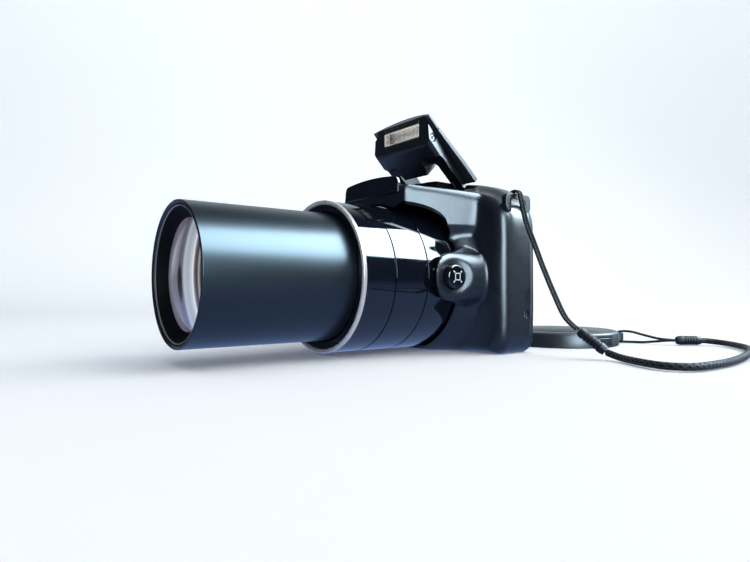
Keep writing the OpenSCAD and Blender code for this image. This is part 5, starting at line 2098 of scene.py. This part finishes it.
@dataclass
class Controls:
    """Buttons, lever, ring, screen and doors."""

    lens_z: float = LENS_Z
    shutter: Pair = SHUTTER_AT
    power: Pair = POWER_AT
    framing_y: float = FRAMING_Y
    back: float = 9.4
    face: float = 14.5

    def framing(self) -> None:
        """Turn the framing button and print its frame mark."""
        at = (0.0, self.framing_y, self.lens_z)
        button = revolve("framing_button_gloss", [
            (0.0, 29.6), (4.5, 29.6), (4.5, 34.0), (4.42, 34.3), (4.2, 34.5), (3.9, 34.6), (2.5, 34.67),
            (0.0, 34.7)], at, AXIS_X, 96)
        dressed(button, GLOSS, "framing_button", "gloss_black", "framing_button")
        k, line = 1.2, 0.33
        strokes = [bar((-k - line / 2, y), (k + line / 2, y), line) for y in (-k, k)]
        strokes += [bar((x, -k), (x, k), line) for x in (-k, k)]
        strokes += [bar((1.5 * x, 1.5 * y), (2.1 * x, 2.1 * y), 0.45) for x in (-1, 1) for y in (-1, 1)]
        icon = marks("framing_mark", strokes, (34.58, at[1], at[2]), AXIS_Y, AXIS_Z, 0.16)
        dressed(icon, WHITE_INK, "framing_button", "flash_clear")

    def deck(self) -> None:
        """Turn the shutter button, the zoom lever with its grip ribs, and the power button."""
        x, y = self.shutter
        dish = [(q, 91.7 - sqrt(900.0 - q * q)) for q in np.linspace(4.7, 0.0, 12)]
        button = revolve("shutter_button_spun", [
            (0.0, 54.5), (4.2, 54.5), (4.2, 60.9), (5.0, 60.9), (5.2, 61.1), (5.2, 61.9), (5.0, 62.12),
            *dish], (x, y, 0.0), AXIS_Z, 96)
        dressed(button, SPUN, "shutter_button", "shutter_metal", "shutter_button")
        ring = revolve("zoom_lever_ring", [
            (5.6, 58.85), (7.9, 58.85), (8.0, 59.0), (8.0, 61.1), (7.75, 61.55), (7.3, 61.75), (5.9, 61.75),
            (5.6, 61.5)], (x, y, 0.0), AXIS_Z, 128)
        tab = bevelled(rod("tab", (x, y - 8.4, 58.85), AXIS_Z, 2.0, 2.9), 0.5, 3)
        lever = merge("zoom_lever_ring", [ring, tab])
        dressed(lever, CONTROL, "zoom_lever", "control_satin", "zoom_lever")
        ribs = Repeat("zoom_lever_ribs", Layout.RING, 64, 7.98, (0.3, 0.32, 1.7), False, (x, y, 60.1))
        dressed(ribs.build(CONTROL), CONTROL, "zoom_lever", "control_satin")
        x, y = self.power
        button = revolve("power_button_domed", [
            (0.0, 54.5), (3.4, 54.5), (3.4, 58.7), (3.25, 58.92), (3.0, 59.0), (2.0, 58.95), (0.0, 58.9)],
            (x, y, 0.0), AXIS_Z, 72)
        dressed(button, CONTROL, "power_button", "control_satin", "power_button")
        r, line = 1.1, 0.3
        arc = [(r * cos(a), r * sin(a)) for a in np.radians(np.arange(125.0, 416.0, 10.0))]
        strokes = [bar(p, q, line) for p, q in zip(arc, arc[1:])]
        strokes.append(bar((0.0, 0.3), (0.0, 1.5), line))
        icon = marks("power_mark", strokes, (x, y, 58.85), TO_RIGHT, (0, -1, 0), 0.16)
        dressed(icon, WHITE_INK, "power_button", "flash_clear")

    def rear_button(self, name: str, radius: float, place: Pair, inner: float = 0.0) -> Piece:
        """Turn one rear button with a rolled edge and a faint dish.

        Args:
            name: Name of the piece.
            radius: Its radius.
            place: Its middle, across and up.
            inner: Radius of its hole.

        Returns:
            The button.
        """
        b, f = self.back, self.face
        x, z = place
        return revolve(name, [
            (inner, b), (radius, b), (radius, f - 0.3), (radius - 0.1, f - 0.1), (radius - 0.3, f),
            (radius - 0.7, f), ((radius + inner) / 2, f - 0.12), (inner, f - 0.16)],
            (x, 0.0, z), segments=72)

    def rear(self) -> None:
        """Turn the rear buttons and print their marks."""
        r, line = 0.85, 0.3
        ring = [(r * cos(a), r * sin(a)) for a in full_turn(24)]
        icons = {
            "movie": (RED_INK, [ring]),
            "play": (WHITE_INK, [[(-0.7, -0.9), (1.0, 0.0), (-0.7, 0.9)]]),
            "auto": (WHITE_INK, [bar((-0.9, y), (0.9, y), line) for y in (-0.7, 0.7)]
                     + [bar((x, -0.85), (x, 0.85), line) for x in (-0.75, 0.75)]),
            "menu": (WHITE_INK, [bar((-1.0, y), (1.0, y), line) for y in (-0.7, 0.0, 0.7)]),
        }
        for key, (ink, outlines) in icons.items():
            node = f"{key}_button"
            x, z = REAR_BUTTONS[key]
            button = self.rear_button(f"{node}_dished", REAR_R, (x, z))
            dressed(button, CONTROL, node, "control_satin", node)
            icon = marks(f"{key}_mark", outlines, (x, self.face - 0.25, z), TO_RIGHT, AXIS_Z, 0.2)
            dressed(icon, ink, node, "flash_clear")
        ring_piece = self.rear_button("direction_ring_dished", RING_R, RING_AT, 4.4)
        dressed(ring_piece, CONTROL, "direction_ring", "control_satin", "direction_ring")
        arrow = ((7.9, 0.0), (6.9, 0.7), (6.9, -0.7))
        arrows = []
        for k in range(4):
            a = pi / 2 * k
            c, n = cos(a), sin(a)
            arrows.append([(c * u - n * v, n * u + c * v) for u, v in arrow])
        middle = (RING_AT[0], self.face - 0.25, RING_AT[1])
        icon = marks("direction_marks", arrows, middle, TO_RIGHT, AXIS_Z, 0.2)
        dressed(icon, WHITE_INK, "direction_ring", "flash_clear")
        centre = self.rear_button("set_button_dished", 4.0, RING_AT)
        dressed(centre, CONTROL, "set_button", "control_satin", "set_button")

    def screen(self) -> None:
        """Glaze the screen, with the display showing darkly under its cover."""
        outline = shifted(rounded_rect(*SCREEN_SIZE), SCREEN_AT)
        pane = bevelled(front_view("screen_pane", outline, 12.2, 13.5), 0.25)
        dressed(pane, SCREEN, ROOT, "screen_black", "lcd_window")
        inner = shifted(rounded_rect(57.0, 42.5, 0.3), SCREEN_AT)
        dressed(front_view("screen_display", inner, 13.3, 13.51), DISPLAY, ROOT, "screen_black")

    def doors(self) -> None:
        """Cut the battery door with its finger groove, and the soft terminal door."""
        gap, axis, thick = 0.35, -40.6, 1.6
        outer, slant = DOOR_X[0] + gap, DOOR_X[1] - gap
        front, step, back = DOOR_Y[0] + gap, DOOR_Y[1] + gap, DOOR_Y[2] - gap
        outline = [(outer, front), (slant, front), (axis - thick, -12.4), (axis - thick, step),
                   (axis, step), (axis, back), (outer, back)]
        door = plan_view("battery_door_plate", outline, 0.0, thick)
        groove = rod("groove", (-52.8, -11.8, -0.4), AXIS_Y, 1.0, 10.0)
        barrel = rod("barrel", (axis, step, thick / 2), AXIS_Y, thick / 2, 13.0 - 2 * gap)
        carve(door, [groove])
        door = merge("battery_door_plate", [bevelled(plain_faces(door), 0.2), barrel])
        dressed(door, SATIN, "battery_door", "housing_satin", "battery_door")
        flap = bevelled(box("terminal_flap", (-61.4, 4.8, 24.4), (-60.0, 10.2, 39.6)), 0.45, 3)
        dressed(flap, SOFT, "terminal_door", "soft_door", "terminal_door")

    def build(self) -> None:
        """Make and dress the controls."""
        self.framing()
        self.deck()
        self.rear()
        self.screen()
        self.doors()
        lamp = revolve("focus_lamp_lens", [
            (0.0, -7.0), (0.9, -6.93), (1.7, -6.65), (2.2, -6.2), (2.35, -5.8), (2.35, 3.0), (0.0, 3.0)],
            (LAMP_AT[0], 0.0, LAMP_AT[1]), segments=64)
        dressed(lamp, AMBER, ROOT, "lamp_amber", "focus_lamp")
        paint(DARK_PART, "lcd_panel", "sensor_unit", "memory_card")
        paint(WRAP, "battery")
        paint(MATTE, "battery_bay")
        paint(BOARD, "main_board")


@dataclass
class LensCap:
    """The lens cap with its eyelet, and its two ribbed latches."""

    place: Pair = (26.0, 54.4)
    bore: float = 23.85
    radius: float = 25.5
    height: float = 6.5
    eye_turn: float = EYE_TURN
    latch_turn: float = -8.0

    def polar(self, reach: float, degrees: float, z: float) -> Point:
        """Point at a distance and a turn about the cap's axis."""
        a = radians(degrees)
        return (self.place[0] + reach * cos(a), self.place[1] + reach * sin(a), z)

    def cap(self) -> Piece:
        """Turn the cap, join its eyelet and cut the latch slots.

        Returns:
            The cap.
        """
        r, h = self.radius, self.height
        profile = [(0.0, h - 1.4), (self.bore, h - 1.4), (self.bore, 0.0), (r - 0.3, 0.0), (r, 0.3),
                   (r, h - 1.2), (r - 0.2, h - 0.85), (r - 0.6, h - 0.55), (r - 1.2, h - 0.3),
                   (r - 2.4, h - 0.1), (r - 4.0, h), (r - 4.3, h - 0.18), (r - 4.7, h - 0.18),
                   (r - 5.0, h + 0.06), (0.0, h + 0.6)]
        made = revolve("lens_cap_turned", profile, (*self.place, 0.0), AXIS_Z, 200)
        eye = self.radius + 1.2
        carve(made, [rod("eyelet", self.polar(eye, self.eye_turn, 1.4), AXIS_Z, 3.0, 3.2)], Join.ADD)
        cuts = [rod("eye", self.polar(eye + 0.6, self.eye_turn, 0.0), AXIS_Z, 1.5, 9.0)]
        inner, outer, half, low, high = 21.7, 29.7, 4.5, 1.0, 4.4
        slot = [(inner, -half), (outer, -half), (outer, half), (inner, half)]
        for k in range(2):
            cuts.append(self.turned_plate(f"slot_{k}", slot, self.latch_turn + 180.0 * k, low, high - low))
        return carve(made, cuts)

    def turned_plate(self, name: str, outline: Outline, turn: float, low: float, depth: float) -> Piece:
        """Extrude an outline that is laid flat and turned about the cap's axis.

        Args:
            name: Name of the object.
            outline: Places out from the axis and across.
            turn: Direction that leads out, in degrees.
            low: Its lowest place.
            depth: Its height.

        Returns:
            The extruded object.
        """
        a = radians(turn)
        out, across = (cos(a), sin(a), 0.0), (-sin(a), cos(a), 0.0)
        return extrude(name, outline, (*self.place, low), out, across, depth)

    def latch(self, node: str, turn: float) -> None:
        """Cut one latch with a round face, and set ribs on it.

        Args:
            node: Name of its node and of its body.
            turn: Its direction from the cap's axis, in degrees.
        """
        a = radians(turn)
        out = self.radius + 0.2
        arc = [(sqrt(out**2 - y * y), y) for y in np.linspace(-4.1, 4.1, 17)]
        outline = [(23.1, 4.1), (23.1, -4.1), *arc]
        made = self.turned_plate(f"{node}_pad", outline, turn, 1.35, 2.7)
        dressed(bevelled(made, 0.2, 2, 40.0), CAP, node, "cap_satin", node)
        count, pitch = 7, 1.0
        start = -pitch * (count - 1) / 2
        reach = sqrt(out**2 - 4.0) - 0.05
        place = (self.place[0] + reach * cos(a) - start * sin(a),
                 self.place[1] + reach * sin(a) + start * cos(a), 2.7)
        ribs = Repeat(f"{node}_ribs", Layout.ROW, count, pitch, (0.4, 0.5, 2.0), False, place,
                      (0.0, 0.0, turn + 90.0)).build(CAP)
        dressed(ribs, CAP, node, "cap_satin")

    def build(self) -> None:
        """Make and dress the cap."""
        dressed(self.cap(), CAP, ROOT, "cap_satin", "lens_cap")
        self.latch("cap_latch_near", self.latch_turn)
        self.latch("cap_latch_far", self.latch_turn + 180.0)


def main() -> None:
    """Build the studio and every sub-assembly."""
    logging.basicConfig(level=logging.INFO, format="%(name)s: %(message)s")
    for part in (Studio(), Tether(), Housing(), Lens(), Flash(), Controls(), LensCap()):
        part.build()


if __name__ == "__main__":
    main()
